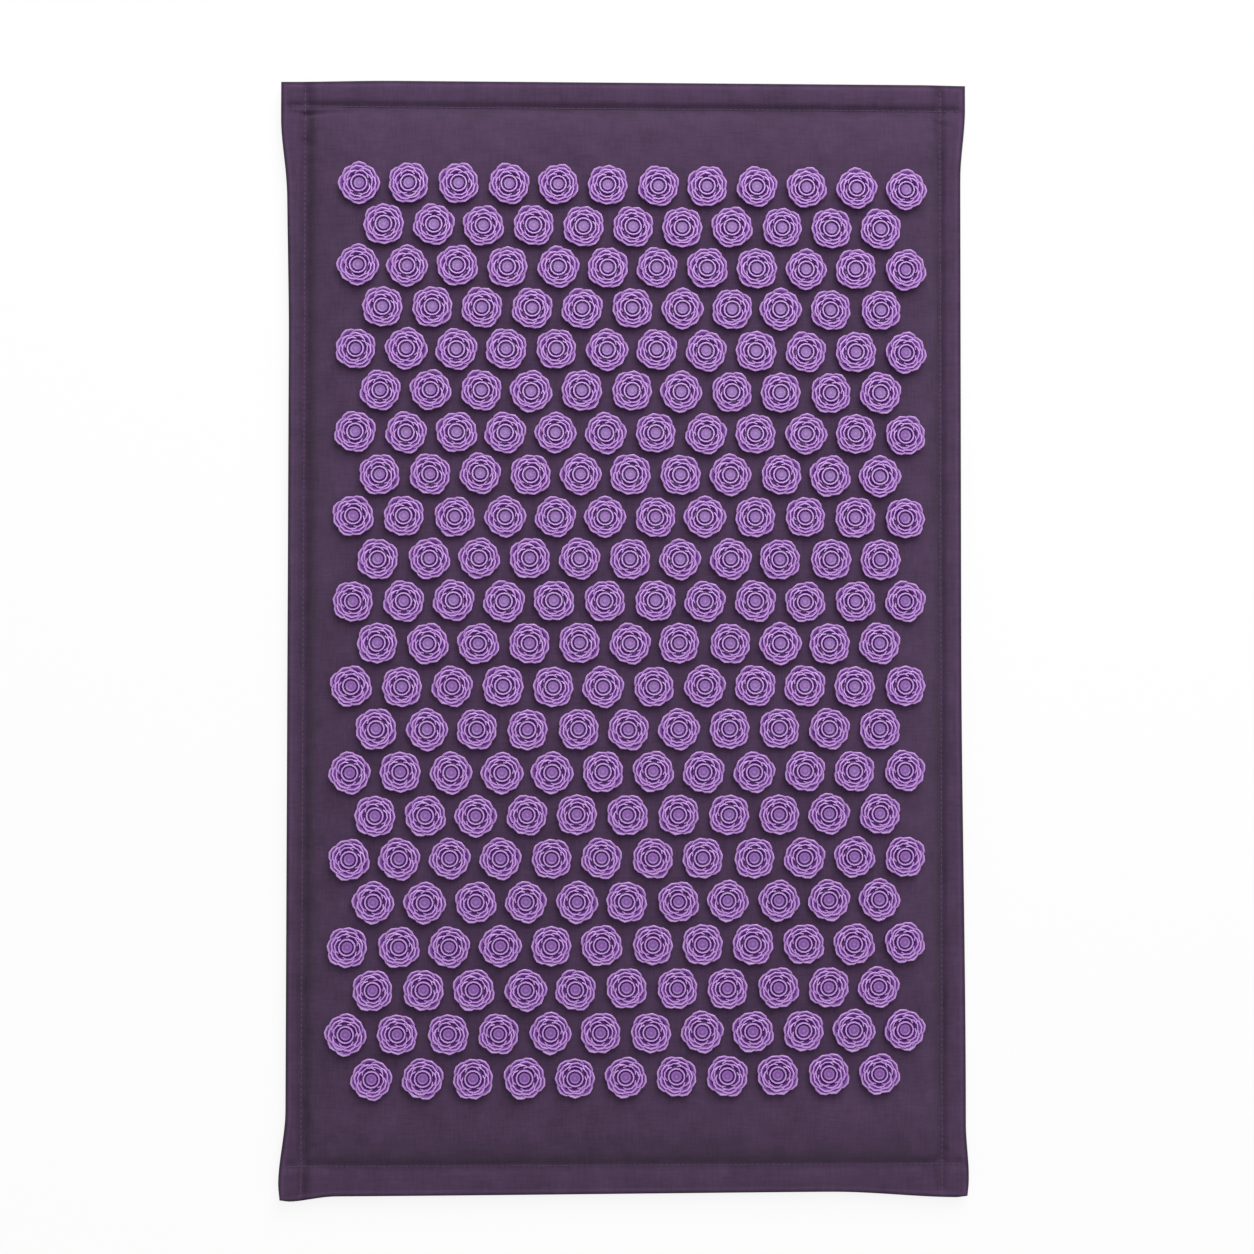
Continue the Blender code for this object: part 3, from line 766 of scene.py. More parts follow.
def swell_cloth(obj, frames=20):
    """Lifts the cloth between its pins with a light pressure, and caps the lift."""
    start = [vert.co.copy() for vert in obj.data.vertices]
    pins = obj.vertex_groups.new(name="held")
    pins.add([i for i, co in enumerate(start) if held_down(co.x, co.y)], 1.0, "REPLACE")
    cloth = obj.modifiers.new("swell", "CLOTH")
    for name, value in SWELLING.items():
        setattr(cloth.settings, name, value)
    cloth.settings.effector_weights.gravity = 0.0
    cloth.point_cache.frame_start = 1
    cloth.point_cache.frame_end = frames
    scene = bpy.context.scene
    for number in range(1, frames + 1):
        scene.frame_set(number)
    applied(obj)
    scene.frame_set(1)
    lifts = []
    for vert, co in zip(obj.data.vertices, start):
        move = vert.co - co
        lifts.append(move.z)
        move.z = LIFT_CAP * tanh(max(move.z, 0.0) / LIFT_CAP)
        move.x = min(max(move.x, -SIDE_CAP), SIDE_CAP)
        move.y = min(max(move.y, -SIDE_CAP), SIDE_CAP)
        vert.co = co + move
    print("lift", round(max(lifts) * 1000, 2), "mm at most,", round(min(lifts) * 1000, 2), "least")
    print("share over the cap", round(sum(lift > LIFT_CAP for lift in lifts) / len(lifts), 3))


bm = bmesh.new()
grid_mesh(bm, cover_xs, cover_ys)
for vert in bm.verts:
    x, y = laid_out(vert.co.x, vert.co.y)
    vert.co = (x, y, pad_top(x, y))
front = make_piece("front_cover", bm, cover_cloth)
swell_cloth(front)
smoother = front.modifiers.new("smooth", "SUBSURF")
smoother.levels = 1
smoother.render_levels = 1
smoother.boundary_smooth = "PRESERVE_CORNERS"
applied(front)
print("front cover", len(front.data.polygons), "faces")


# %% Sculpt its seams and hem
# How much painted shade darkens the cloth beside the left and the right seam, and how far inside it
LEFT_SEAM_SHADE = (0.9, 0.0036)
RIGHT_SEAM_SHADE = (0.5, 0.0025)
SEAM_SHADE_WIDTH = 0.0030
# A painted highlight along the rolled hem, and painted shade at its very edge
HEM_HIGHLIGHT_INSIDE = 0.0027
HEM_HIGHLIGHT_WIDTH = 0.0009
EDGE_SHADE_SHARE = 2.2
EDGE_SHADE_WIDTH = 0.0013
HEM_TURN_DOWN = 0.0010
HEM_TURN_UP = 0.0009


def paint_hem_and_seam_light(mesh):
    """Stores painted light: a highlight on the hem, and shade at its very edge and by the long seams."""
    layer = mesh.attributes.new("wear_and_painted_light", "FLOAT", "POINT")
    for vert, item in zip(mesh.vertices, layer.data):
        edge = inside_edge(vert.co.x, vert.co.y)
        # Painted highlight on the hem, less painted shade at its very edge
        hem = bell(edge - HEM_HIGHLIGHT_INSIDE, HEM_HIGHLIGHT_WIDTH) - EDGE_SHADE_SHARE * bell(edge, EDGE_SHADE_WIDTH)
        inside_seam = STITCH_X - abs(vert.co.x - SEAM_SHIFT_X)
        amount, shade_inside = LEFT_SEAM_SHADE if vert.co.x < 0 else RIGHT_SEAM_SHADE
        # and painted shade beside the long seams, where the crease lies
        item.value = hem - amount * bell(inside_seam - shade_inside, SEAM_SHADE_WIDTH)


def thicken(obj, thickness):
    """Gives a sheet its thickness, on the inner side."""
    solid = obj.modifiers.new("thickness", "SOLIDIFY")
    solid.thickness = thickness
    solid.offset = -1.0
    applied(obj)


for vert in front.data.vertices:
    x, y = vert.co.x, vert.co.y
    relief = seam_relief(x, y) + fold_height(x, y) + cloth_waves(x, y)
    vert.co.z += relief * off_hem(x, y) - hem_drop(x, y) * HEM_TURN_DOWN
# Painted highlight and painted shade along the hem and the seams
paint_hem_and_seam_light(front.data)
thicken(front, COVER_THICKNESS)
declare(front, "front_panel")
print("front cover", len(front.data.polygons), "faces with its thickness")

# %% [markdown]
# ## The back cover and the zip's end panel
# Underneath, two panels meet at the zip. The cloth lies on the floor under the foam and
# slopes up to the flange. Past the zip's ends the panels close to a plain seam.

# %% Back panels
ZIP_FROM_SEAM = 0.012
ZIP_Y = PAD_SHIFT_Y - (SEAM_Y - ZIP_FROM_SEAM)
SLOT_HALF_LENGTH = SEAM_X - UNDER_BAND - 0.002
SLOT_WIDTH = 0.009
SLOT_TAPER = 0.0025
UNDER_WAVE = 0.0004
EDGE_SEAM_HEIGHT = 0.0005
EDGE_SEAM_INSIDE = 0.0022
EDGE_SEAM_WIDTH = 0.0009
EDGE_SEAM_ROOM = 0.02


def slot_half(x):
    """Half the gap between the two panels: the zip's slot, then a plain seam."""
    past = (abs(x) - SLOT_HALF_LENGTH) / SLOT_TAPER
    return FIT / 2 + (SLOT_WIDTH - FIT) / 2 * (1 - limited(past))


def under_relief(x, y):
    """Seams and small waves of the underside, which never go below the floor."""
    off_floor = pad_under(x, y) / FLANGE_UNDER
    top = seam_relief(x, y) + fold_height(x, y)
    relief = min(top, 0.0) - 0.5 * max(top, 0.0)
    waves = UNDER_WAVE * sin(x * 83 + 2 * sin(y * 19)) * sin(y * 57) * off_floor
    total = (relief + waves) * off_floor
    if abs(y - ZIP_Y) < EDGE_SEAM_ROOM:
        edge = abs(abs(y - ZIP_Y) - slot_half(x))
        total += EDGE_SEAM_HEIGHT * bell(edge - EDGE_SEAM_INSIDE, EDGE_SEAM_WIDTH)
    return total


def make_back(name, node, ys, side):
    """One panel of the underside, whose edge along the zip is at ZIP_Y."""
    bm = bmesh.new()
    grid_mesh(bm, back_xs, ys)
    for vert in bm.verts:
        x, y = laid_out(vert.co.x, vert.co.y)
        if vert.co.y == ys[0 if side > 0 else -1] and side * (y - ZIP_Y) < 0.001:
            y = ZIP_Y + side * slot_half(x)
        elif abs(y - ZIP_Y) < 0.010:
            y += side * slot_half(x) * fade(abs(y - ZIP_Y), 0.0, 0.014)
        height = pad_under(x, y) + under_relief(x, y) * off_hem(x, y)
        vert.co = (x, y, max(height + hem_drop(x, y) * HEM_TURN_UP, 0.0))
    bmesh.ops.reverse_faces(bm, faces=bm.faces)
    panel = make_piece(name, bm, cover_cloth)
    # Painted highlight and painted shade along the hem and the seams
    paint_hem_and_seam_light(panel.data)
    thicken(panel, COVER_THICKNESS)
    declare(panel, node)
    return panel


slot_lines = spread(SLOT_HALF_LENGTH - 0.001, SLOT_HALF_LENGTH + SLOT_TAPER + 0.001, 4)
coarse_xs = half_lines(SEAM_X, HALF_WIDTH, 18)
kept = [x for x in coarse_xs if min(abs(x - s) for s in slot_lines) > 0.0012]
back_xs = mirrored(sorted(kept + slot_lines))
all_ys = along_lines(30)
near_zip = [ZIP_Y + d for d in (0.0, 0.0008, 0.0016, 0.0024, 0.0034, 0.0050, 0.0075)]
back_ys = near_zip + [y for y in all_ys if y > ZIP_Y + 0.0095]
end_ys = [y for y in all_ys if y < ZIP_Y - 0.0095] + [2 * ZIP_Y - y for y in reversed(near_zip)]
back = make_back("back_cover", "back_panel", back_ys, 1)
end_panel = make_back("zip_end_cover", "zip_end_panel", end_ys, -1)
print("back", len(back.data.polygons), "end panel", len(end_panel.data.polygons), "faces")

# %% [markdown]
# ## Foam and lining
# Inside lies a slab of open-cell foam. Over it, and glued to the front cloth, lies the
# lining that the discs are riveted through. Both are out of sight and made plainly.

# %% Foam and lining
LINING_ROOM = 0.0006
FOAM_ROOM = 0.0006
LINING_THICKNESS = 0.0005
INNER_MARGIN = 0.012
ZIP_MARGIN = 0.018


def foam_top(x, y):
    return pad_top(x, y) - CLOTH - FIT - LINING_ROOM - FOAM_ROOM


def foam_bottom(x, y):
    """Just over the back cloth, and a little higher beside the zip."""
    return pad_under(x, y) + CLOTH + FOAM_ROOM + 0.0009 * fade(y - ZIP_Y, 0.012, 0.020)


def lines_within(lines, low, high):
    """The stations between two limits, and the limits."""
    return [low] + [line for line in lines if low + 0.001 < line < high - 0.001] + [high]


def inner_sheet(foot_margin):
    """A flat grid inside the seams, with its own margin at the foot end."""
    xs = mirrored(half_lines(SEAM_X, HALF_WIDTH, 12))
    low_y = PAD_SHIFT_Y - SEAM_Y + foot_margin
    high_y = PAD_SHIFT_Y + SEAM_Y - INNER_MARGIN
    bm = bmesh.new()
    xs = lines_within(xs, -SEAM_X + INNER_MARGIN, SEAM_X - INNER_MARGIN)
    grid_mesh(bm, xs, lines_within(along_lines(20), low_y, high_y))
    return bm


bm = inner_sheet(ZIP_MARGIN)
lower = list(bm.verts)
for vert in extruded(bm, bm.faces[:]):
    vert.co.z = foam_top(vert.co.x, vert.co.y)
for vert in lower:
    vert.co.z = foam_bottom(vert.co.x, vert.co.y)
bmesh.ops.recalc_face_normals(bm, faces=bm.faces)
bevelled(bm, [e for e in bm.edges if e.calc_face_angle(0.0) > radians(50)], 0.0008, 2)
foam = make_piece("foam_slab", bm, cream_foam, 50)
declare(foam, "foam_core")

bm = inner_sheet(INNER_MARGIN)
for vert in bm.verts:
    vert.co.z = pad_top(vert.co.x, vert.co.y) - CLOTH - FIT
lining = make_piece("rosette_lining", bm, lining_cloth)
thicken(lining, LINING_THICKNESS)
declare(lining, "rosette_backing_lining")
print("foam", len(foam.data.polygons), "lining", len(lining.data.polygons), "faces")

# %% [markdown]
# ## One rosette
# A disc is a flower of spikes: a bud with a small nib, a round collar, and three rings of
# petals. A petal is a wedge: its outer face stands nearly upright and its inner face
# slopes, so that from above each rim is a thin bright line with a slope inside it and a
# dark cleft behind it. A rim is a pointed arch, and crosses its neighbours' rims. A petal
# starts as a small grid, gets a back by extruding it, and is then bent. The bud, the
# floor and the collar are turned shapes, made with spin.

# %% Petals
# The number of petals and the turn of the first in degrees, then the petal's shape: rim
# radius, foot radius, foot height, floor height, tip height, half spread in degrees, foot
# wall, and how much nearer the middle a rim's ends lie than its tip
RINGS = [
    (6, 0.0, (0.0083, 0.0077, 0.0036, 0.0042, 0.0067, 44.0, 0.0017, 0.0012)),
    (7, 11.0, (0.0105, 0.0097, 0.0030, 0.0045, 0.0069, 39.0, 0.0026, 0.0015)),
    (8, 33.5, (0.0127, 0.0117, 0.0003, 0.0042, 0.0066, 33.0, 0.0034, 0.0014)),
]
PETAL_RIM = 0.00056
PETAL_STAGGER = 0.00034
PETAL_ARCH = 0.30


def add_petal(bm, painted_light_layer, shape, turn, stagger):
    """One wedge-shaped petal of a ring, as a closed shell."""
    rim_radius, foot_radius, foot_z, floor_z, tip_z, half_spread, foot_wall, point = shape
    made = bmesh.ops.create_grid(bm, x_segments=4, y_segments=1, size=1.0)["verts"]
    faces = list({face for vert in made for face in vert.link_faces})
    outer = extruded(bm, faces)
    for inner_side, verts in ((True, made), (False, outer)):
        for vert in verts:
            across = vert.co.x
            up = (vert.co.y + 1) / 2
            rise = up * (1 - PETAL_ARCH * abs(across) ** 1.2)
            radius = foot_radius + (rim_radius - foot_radius) * rise + stagger
            radius -= point * abs(across) ** 2.1 * (0.35 + 0.65 * up)
            low = foot_z
            if inner_side:
                radius -= PETAL_RIM + (foot_wall - PETAL_RIM) * (1 - up)
                low = floor_z
            angle = turn + radians(half_spread) * across
            vert.co = (radius * cos(angle), radius * sin(angle), low + (tip_z - low) * rise)
            # Painted light: shade at the petal's foot, highlight at its rim
            vert[painted_light_layer] = up


def add_ring(bm, painted_light_layer, count, start, shape):
    """A ring of petals, every second one a little further out."""
    for index in range(count):
        stagger = PETAL_STAGGER if index % 2 else -PETAL_STAGGER
        add_petal(bm, painted_light_layer, shape, start + index * 2 * pi / count, stagger)


print("petals", sum(count for count, _, _ in RINGS))


# %% Turned shapes
def spin_profile(bm, points, segments):
    """Spins a profile of (radius, height) points about the upright axis."""
    verts = [bm.verts.new((radius, 0.0, height)) for radius, height in points]
    edges = [bm.edges.new(pair) for pair in zip(verts, verts[1:])]
    bmesh.ops.spin(
        bm, geom=verts + edges, cent=(0, 0, 0), axis=(0, 0, 1),
        angle=2 * pi, steps=segments, use_merge=True,
    )


DISC_SEGMENTS = 14
BODY_PROFILE = [
    (0.0, 0.0), (0.0110, 0.0), (0.0112, 0.0022), (0.0088, 0.0040), (0.0052, 0.0037),
    (0.0039, 0.0036), (0.0038, 0.0056), (0.0031, 0.0064), (0.0017, 0.0060), (0.0, 0.0068),
]
COLLAR_PROFILE = [
    (0.0043, 0.0030), (0.0044, 0.0065), (0.0046, 0.0071), (0.0052, 0.0071), (0.0055, 0.0062),
    (0.0056, 0.0030), (0.0043, 0.0030),
]
# Painted light of the turned shapes, by height: full shade up to the deepest height, a highlight over the
# depth range above it, and less highlight on the bud
BUD_RADIUS = 0.0041
BUD_LIGHT_SHARE = 0.85
DEEPEST = 0.0028
DEPTH_RANGE = 0.0036


def rosette_template():
    """The mesh of one disc, with its foot at the origin."""
    bm = bmesh.new()
    # The attribute that carries the painted light
    painted_light_layer = bm.verts.layers.float.new("rim")
    spin_profile(bm, BODY_PROFILE, DISC_SEGMENTS)
    spin_profile(bm, COLLAR_PROFILE, DISC_SEGMENTS)
    bmesh.ops.remove_doubles(bm, verts=bm.verts, dist=0.00001)
    # Painted light by height, weaker on the bud
    for vert in bm.verts:
        radius = Vector((vert.co.x, vert.co.y)).length
        lift = limited((vert.co.z - DEEPEST) / DEPTH_RANGE)
        vert[painted_light_layer] = lift if radius > BUD_RADIUS else BUD_LIGHT_SHARE * lift
    for count, turn, shape in RINGS:
        add_ring(bm, painted_light_layer, count, radians(turn), shape)
    bmesh.ops.recalc_face_normals(bm, faces=bm.faces)
    return finished_mesh("rosette", bm)


rosette = rosette_template()
print("one rosette", len(rosette.polygons), "faces")

# %% [markdown]
# ## The field of rosettes
# Each disc stands square to the cloth, with a small turn and lean of its own. A seeded
# random source gives the same field in every run.


# %% Rows of rosettes
DISC_LEAN = 0.02
DISC_SHIFT = 0.0004
DISC_SINK = 0.0001
DISC_STRETCH = (0.97, 1.01)


def disc_matrix(x, y, chance):
    """Stands a disc on the cloth, with a small turn and lean of its own."""
    normal = pad_normal(x, y)
    normal.x += chance.uniform(-DISC_LEAN, DISC_LEAN)
    normal.y += chance.uniform(-DISC_LEAN, DISC_LEAN)
    stand = Vector((0, 0, 1)).rotation_difference(normal.normalized()).to_matrix().to_4x4()
    turn = Matrix.Rotation(chance.uniform(-pi, pi), 4, "Z")
    widths = [chance.uniform(*DISC_STRETCH) for _ in range(2)]
    stretch = Matrix.Diagonal((*widths, 1.0, 1.0))
    shift_x = chance.uniform(-DISC_SHIFT, DISC_SHIFT)
    shift_y = chance.uniform(-DISC_SHIFT, DISC_SHIFT)
    foot = Vector((x + shift_x, y + shift_y, pad_top(x, y) - DISC_SINK))
    return Matrix.Translation(foot) @ stand @ turn @ stretch


def make_row(row):
    """One row of discs, from one seeded source, and its number of faces."""
    chance = random.Random(40 + row)
    bm = bmesh.new()
    for x, y in row_places(row):
        first = len(bm.verts)
        bm.from_mesh(rosette)
        bm.verts.ensure_lookup_table()
        bmesh.ops.transform(bm, verts=bm.verts[first:], matrix=disc_matrix(x, y, chance))
    piece = make_piece(f"spike_row_{row + 1:02d}", bm, violet_plastic, 44)
    declare(piece, f"rosette_row_{row + 1:02d}")
    return len(piece.data.polygons)


row_faces = [make_row(row) for row in range(ROW_COUNT)]
bpy.data.meshes.remove(rosette)
print("rows", len(row_faces), "faces in all", sum(row_faces))

# %% [markdown]
# ## Stitches
# Four straight seams hold the flange and cross at its corners, with the needle thread
# above and the bobbin thread below. A stitch is a stretched ball, set down at every step
# of the seam with a little unevenness.

# %% Stitch rows
STITCH_LENGTH = 0.0032
STITCH_RADIUS = 0.00034


def add_stitch(bm, middle, direction, up, chance):
    """One stitch: a ball that is drawn out along the seam."""
    lean = radians(chance.uniform(-5, 5))
    forward = (Matrix.Rotation(lean, 3, up) @ direction).normalized()
    side = up.cross(forward).normalized()
    turn = Matrix((forward, side, up)).transposed().to_4x4()
    shape = Matrix.Diagonal((STITCH_LENGTH * 0.46, STITCH_RADIUS * 1.15, STITCH_RADIUS, 1.0))
    matrix = Matrix.Translation(middle) @ turn @ shape
    bmesh.ops.create_uvsphere(bm, u_segments=8, v_segments=6, radius=1.0, matrix=matrix)


def surface_height(tree, x, y, up_sign):
    """Where a ray from outside meets the cloth. Over a slit, its nearest point counts."""
    hit = tree.ray_cast(Vector((x, y, up_sign * 0.1)), Vector((0, 0, -up_sign)))[0]
    return (hit or tree.find_nearest(Vector((x, y, SEAM_HEIGHT)))[0]).z


def stitch_row(name, node, start, end, cloth_tree, up_sign, chance):
    """Stitches along a straight seam, at the height of the cloth."""
    bm = bmesh.new()
    run = Vector(end) - Vector(start)
    count = int(run.length / STITCH_LENGTH)
    for index in range(count):
        place = Vector(start) + run * (index + 0.5) / count
        z = surface_height(cloth_tree, place.x, place.y, up_sign)
        normal = Vector((0, 0, up_sign))
        middle = Vector((place.x, place.y, z + up_sign * STITCH_RADIUS * 0.35))
        add_stitch(bm, middle, run.normalized().to_3d(), normal, chance)
    declare(make_piece(name, bm, sewing_thread), node)
    return count


def surface_tree(*pieces):
    """A tree of the faces of some pieces, to find their surface with a ray."""
    verts = []
    faces = []
    for piece in pieces:
        first = len(verts)
        verts += [vert.co for vert in piece.data.vertices]
        faces += [[first + i for i in face.vertices] for face in piece.data.polygons]
    return BVHTree.FromPolygons(verts, faces)


top = surface_tree(front)
under = surface_tree(back, end_panel)
ENDS_ALONG = (-0.3352, 0.3368)
ENDS_ACROSS = (-0.2045, 0.2050)
seams = {
    "left": [(SEAM_SHIFT_X - STITCH_X, y) for y in ENDS_ALONG],
    "right": [(SEAM_SHIFT_X + STITCH_X, y) for y in ENDS_ALONG],
    "foot_end": [(x, PAD_SHIFT_Y - STITCH_Y) for x in ENDS_ACROSS],
    "head_end": [(x, PAD_SHIFT_Y + STITCH_Y) for x in ENDS_ACROSS],
}
chance = random.Random(7)
total = 0
for layer, cloth_tree, up_sign in (("needle", top, 1), ("bobbin", under, -1)):
    for label, ends in seams.items():
        names = (f"{layer}_stitches_{label}", f"{layer}_thread_{label}")
        total += stitch_row(*names, *ends, cloth_tree, up_sign, chance)
print("stitches", total)

# %% [markdown]
# ## The zip
# The zip's pieces are made in a frame of their own: x along the zip, y across it towards
# the flange, and z out of the cloth. A matrix puts them on the sloping underside.

# %% Zip frame and tapes
STOP_ROOM = 0.006
ZIP_HALF = SLOT_HALF_LENGTH - STOP_ROOM
TAPE_MIDDLE = -0.0016
# Distance from the chain's middle line and half the thickness, from the cord outwards
TAPE_PROFILE = [
    (0.0013, 0.00045), (0.0015, 0.00075), (0.0020, 0.00075), (0.0023, 0.00045),
    (0.0026, 0.00028), (0.0060, 0.00028), (0.0107, 0.00025),
]
CORD_HALF = 0.00075
CORD_THINNING = 0.0003
CORD_SHIFT = 0.0012
# Stations at a tape's end and where it nears the other one, as distances from the slot's end
TAPE_END = (-0.0060, -0.0045, -0.0035, -0.0025, -0.0015, 0.0050)
TAPE_NEARING = (-0.0045, -0.0015)
zip_slope = abs(Vector((UNDER_BAND, FLANGE_UNDER)).angle_signed(Vector((1, 0))))
zip_place = Vector((0, ZIP_Y, pad_under(0, ZIP_Y)))
ZIP_MATRIX = Matrix.Translation(zip_place) @ Matrix.Rotation(pi - zip_slope, 4, "X")


def zip_piece(name, bm, material, node, slot, body="mat", smooth_angle=40):
    bmesh.ops.recalc_face_normals(bm, faces=bm.faces)
    bmesh.ops.transform(bm, verts=bm.verts, matrix=ZIP_MATRIX)
    piece = make_piece(name, bm, material, smooth_angle)
    declare(piece, node, body)
    return piece


def make_tape(label, side):
    """A strip of tape, thick at its corded edge. Past the stops it nears the other tape."""
    ys = [y for y, _ in TAPE_PROFILE]
    bm = bmesh.new()
    ends = [SLOT_HALF_LENGTH + distance for distance in TAPE_END]
    grid_mesh(bm, [-x for x in reversed(ends[1:])] + spread(-ZIP_HALF, ZIP_HALF, 50) + ends, ys)
    lower = list(bm.verts)
    upper = extruded(bm, bm.faces[:])
    for sign, verts in ((-1, lower), (1, upper)):
        for vert in verts:
            y, half = min(TAPE_PROFILE, key=lambda station: abs(station[0] - vert.co.y))
            past = 1 - fade(abs(vert.co.x) - SLOT_HALF_LENGTH, *TAPE_NEARING)
            shift = past * CORD_SHIFT * (ys[-1] - y) / (ys[-1] - ys[0])
            vert.co.z = TAPE_MIDDLE + sign * min(half, CORD_HALF - CORD_THINNING * past)
            vert.co.y = side * (vert.co.y - shift)
    node = f"zip_tape_{label}"
    return zip_piece(f"woven_tape_{label}", bm, tape_cloth, node, "zip_tape", smooth_angle=50)


tapes = [make_tape("flange_side", 1), make_tape("pad_side", -1)]
print("zip slope", round(zip_slope * 180 / pi, 1), "degrees, tapes", len(tapes))

# %% [markdown]
# ## Teeth and stops
# Moulded teeth grip the tape's corded edge, and their heads reach for the gap between
# the heads of the other row. Metal clips at the ends keep the slider on the chain.

# %% Teeth and stops
TOOTH_PITCH = 0.0025
TOOTH_ROOT = (0.00125, 0.0012, 0.0019)
TOOTH_HEAD = (0.00150, 0.0007, 0.0016)
TOOTH_ROOT_Y = 0.00175
TOOTH_HEAD_Y = 0.00088
TOOTH_SHIFTS = (0.28, 0.72)
STOP_X = ZIP_HALF + FIT + 0.0015
STOP_Y = 0.001425
STOP_WIDTH = 0.00175
BOTTOM_STOP_WIDTH = 0.0046
LIP_OFFSET = 0.0008
LIP_LENGTH = 0.0013
LIP_HEIGHT = 0.0036


def rounded_box(bm, size, middle, radius, segments=1):
    """A block with bevelled edges, and its vertices."""
    matrix = Matrix.Translation(middle) @ Matrix.Diagonal((*size, 1.0))
    made = bmesh.ops.create_cube(bm, size=1.0, matrix=matrix)["verts"]
    edges = list({edge for vert in made for edge in vert.link_edges})
    return bevelled(bm, edges, radius, segments)


def make_teeth(label, side, shift):
    """A row of single teeth, shifted by a share of the pitch."""
    bm = bmesh.new()
    count = int(2 * ZIP_HALF / TOOTH_PITCH)
    for index in range(count):
        x = -ZIP_HALF + TOOTH_PITCH * (index + shift)
        rounded_box(bm, TOOTH_ROOT, (x, side * TOOTH_ROOT_Y, TAPE_MIDDLE), 0.00022)
        rounded_box(bm, TOOTH_HEAD, (x, side * TOOTH_HEAD_Y, TAPE_MIDDLE), 0.00020)
    zip_piece(f"moulded_teeth_{label}", bm, tooth_plastic, f"zip_teeth_{label}", "zip_teeth")
    return count


def make_stop(name, x, y, width):
    """A metal clip, folded over the edge of the tape: two lips with a groove between."""
    bm = bmesh.new()
    for lip_x in (x - LIP_OFFSET, x + LIP_OFFSET):
        rounded_box(bm, (LIP_LENGTH, width, LIP_HEIGHT), (lip_x, y, TAPE_MIDDLE), 0.00035, 2)
    rounded_box(bm, (0.0024, width * 0.9, 0.0030), (x, y, TAPE_MIDDLE), 0.00025)
    zip_piece(name, bm, dark_metal, f"zip_{name}", "zip_metal")


teeth = make_teeth("flange_side", 1, TOOTH_SHIFTS[0]) + make_teeth("pad_side", -1, TOOTH_SHIFTS[1])
make_stop("top_stop_flange_side", STOP_X, STOP_Y, STOP_WIDTH)
make_stop("top_stop_pad_side", STOP_X, -STOP_Y, STOP_WIDTH)
make_stop("bottom_stop", -STOP_X, 0.0, BOTTOM_STOP_WIDTH)
print("teeth", teeth)

# %% [markdown]
# ## Slider and pull
# The slider is two plates round the chain, a thin post between the rows and a bail,
# which is half a ring. The pull is a flat tab whose end bar turns in the bail.

# %% Slider
SLIDER_LENGTH = 0.0090
SLIDER_X = ZIP_HALF - SLIDER_LENGTH / 2
PLATE_SIZE = (SLIDER_LENGTH, 0.0072, 0.0012)
PLATE_Z = 0.0019
PLATE_TOP = 0.0025
PLATE_TAPER = 0.18
BAIL_SECTION = (0.0009, 0.0016, 1.0)
BAIL_RADIUS = 0.0026
BAIL_HEIGHT_SHARE = 0.92
BAIL_LIFT = 0.0021
RAIL_SIZE = (0.0076, 0.0008, 0.0010)
RAIL_Y = 0.0031
RAIL_Z = 0.0012
POST_SIZE = (0.0030, 0.0005, 0.0036)
POST_X = 0.0024


def add_plate(bm, z):
    """A plate with rounded corners, narrower towards the closed side of the chain."""
    for vert in rounded_box(bm, PLATE_SIZE, (0, 0, z), 0.00035, 2):
        if vert.co.x < 0:
            vert.co.y *= 1 + PLATE_TAPER * vert.co.x / (SLIDER_LENGTH / 2)


def add_bail(bm):
    """A bridge from one end of the plate to the other, spun about the y axis."""
    bail = bmesh.new()
    bmesh.ops.create_grid(bail, x_segments=1, y_segments=1, size=0.5)
    bmesh.ops.scale(bail, verts=bail.verts, vec=BAIL_SECTION)
    bmesh.ops.translate(bail, verts=bail.verts, vec=(-BAIL_RADIUS, 0, 0))
    bmesh.ops.spin(bail, geom=bail.faces[:], cent=(0, 0, 0), axis=(0, 1, 0), angle=pi, steps=12)
    bmesh.ops.remove_doubles(bail, verts=bail.verts, dist=0.000001)
    for vert in bail.verts:
        vert.co.z = vert.co.z * BAIL_HEIGHT_SHARE + BAIL_LIFT
    bmesh.ops.recalc_face_normals(bail, faces=bail.faces)
    mesh = finished_mesh("bail", bail)
    bm.from_mesh(mesh)
    bpy.data.meshes.remove(mesh)


bm = bmesh.new()
add_plate(bm, PLATE_Z)
add_plate(bm, -PLATE_Z)
for side_y in (-1, 1):
    for side_z in (-1, 1):
        rounded_box(bm, RAIL_SIZE, (0, side_y * RAIL_Y, side_z * RAIL_Z), 0.00015)
rounded_box(bm, POST_SIZE, (POST_X, 0, 0), 0.0001)
add_bail(bm)
bmesh.ops.translate(bm, verts=bm.verts, vec=(SLIDER_X, 0, TAPE_MIDDLE))
slider = zip_piece("slider_body", bm, dark_metal, "zip_slider", "zip_metal", "zip_slider")
print("slider", len(slider.data.polygons), "faces")

# %% Pull
BAIL_ROOM = 0.00085
PULL_Z = TAPE_MIDDLE + PLATE_TOP + BAIL_ROOM
# The tab's free end, its panel, the web beside the opening, the opening and the end bar
PULL_XS = [-0.0180, -0.0165, -0.0060, -0.0040, -0.0005, 0.0006]
PULL_YS = [-0.0030, -0.0017, 0.0017, 0.0030]
PULL_THICKNESS = 0.0009
# The share of its width that the tab has left up to each place, from the free end
END_WIDTHS = ((-0.0170, 0.62), (-0.0150, 0.94))
PANEL_MARGIN = 0.0006
PANEL_DEPTH = 0.00018
PULL_BEVEL = 0.00016


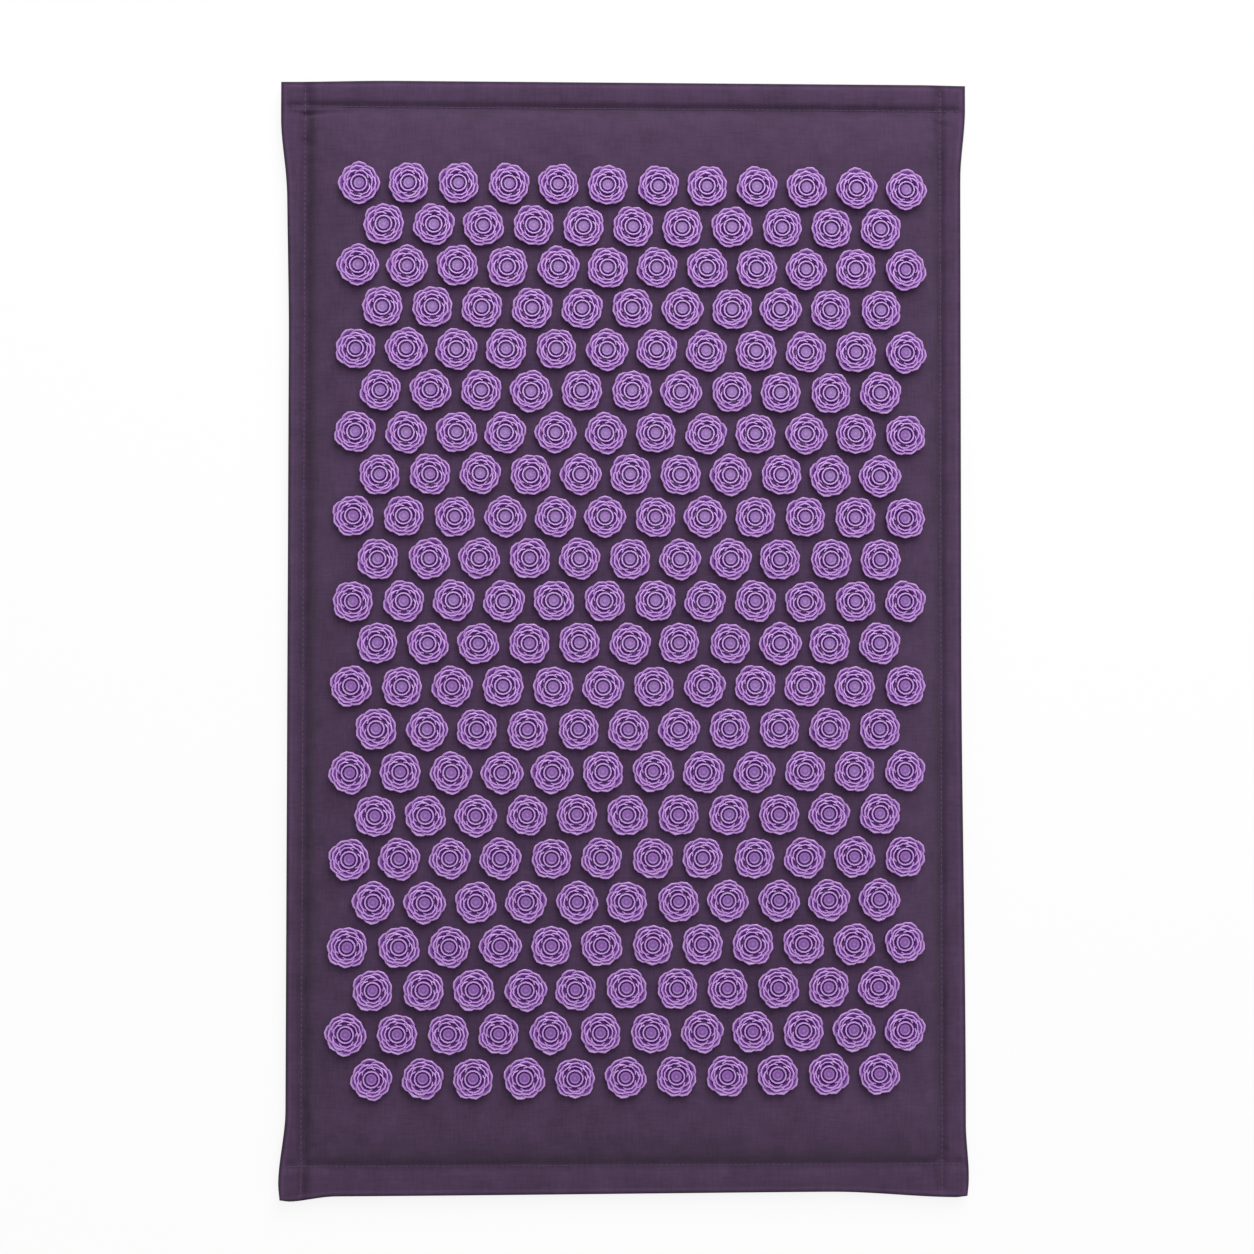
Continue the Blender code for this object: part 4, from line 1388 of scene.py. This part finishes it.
def middle_faces(faces, low, high):
    """The faces of the tab's middle column whose centres lie between two places."""
    centres = [(face, face.calc_center_median()) for face in faces]
    return [f for f, centre in centres if low < centre.x < high and abs(centre.y) < PULL_YS[2]]


def add_pull(bm):
    """A tab with an opening at its end, and a shallow panel sunk in each face."""
    grid_mesh(bm, PULL_XS, PULL_YS)
    for vert in bm.verts:
        vert.co.y *= next((width for limit, width in END_WIDTHS if vert.co.x < limit), 1.0)
    opening = middle_faces(bm.faces, *PULL_XS[3:5])
    bmesh.ops.delete(bm, geom=opening, context="FACES")
    upper = extruded(bm, bm.faces[:])
    bmesh.ops.translate(bm, verts=bm.verts, vec=(0, 0, -PULL_THICKNESS / 2))
    bmesh.ops.translate(bm, verts=upper, vec=(0, 0, PULL_THICKNESS))
    bmesh.ops.recalc_face_normals(bm, faces=bm.faces)
    flat = [f for f in bm.faces if abs(f.normal.z) > 0.9]
    panels = middle_faces(flat, *PULL_XS[1:3])
    bmesh.ops.inset_individual(bm, faces=panels, thickness=PANEL_MARGIN, depth=-PANEL_DEPTH)
    bevelled(bm, [e for e in bm.edges if e.calc_face_angle(0.0) > radians(60)], PULL_BEVEL, 2)


bm = bmesh.new()
add_pull(bm)
bmesh.ops.translate(bm, verts=bm.verts, vec=(SLIDER_X, 0, PULL_Z))
pull = zip_piece("pull_tab", bm, dark_metal, "zip_pull", "zip_metal", "zip_pull")
print("pull", len(pull.data.polygons), "faces")


# %% Stitches of the zip
TAPE_SEAM_Y = 0.0067


def zip_stitches(label, side):
    """A row of stitches that holds the tape to the turned edge of its panel."""
    bm = bmesh.new()
    count = int(2 * SLOT_HALF_LENGTH / STITCH_LENGTH)
    for index in range(count):
        x = -SLOT_HALF_LENGTH + 2 * SLOT_HALF_LENGTH * (index + 0.5) / count
        middle = Vector((x, side * TAPE_SEAM_Y, STITCH_RADIUS * 0.3))
        add_stitch(bm, middle, Vector((1, 0, 0)), Vector((0, 0, 1)), chance)
    names = (f"zip_seam_thread_{label}", "sewing_thread")
    zip_piece(f"zip_stitches_{label}", bm, sewing_thread, *names)
    return count


print("zip stitches", zip_stitches("flange_side", 1) + zip_stitches("pad_side", -1))
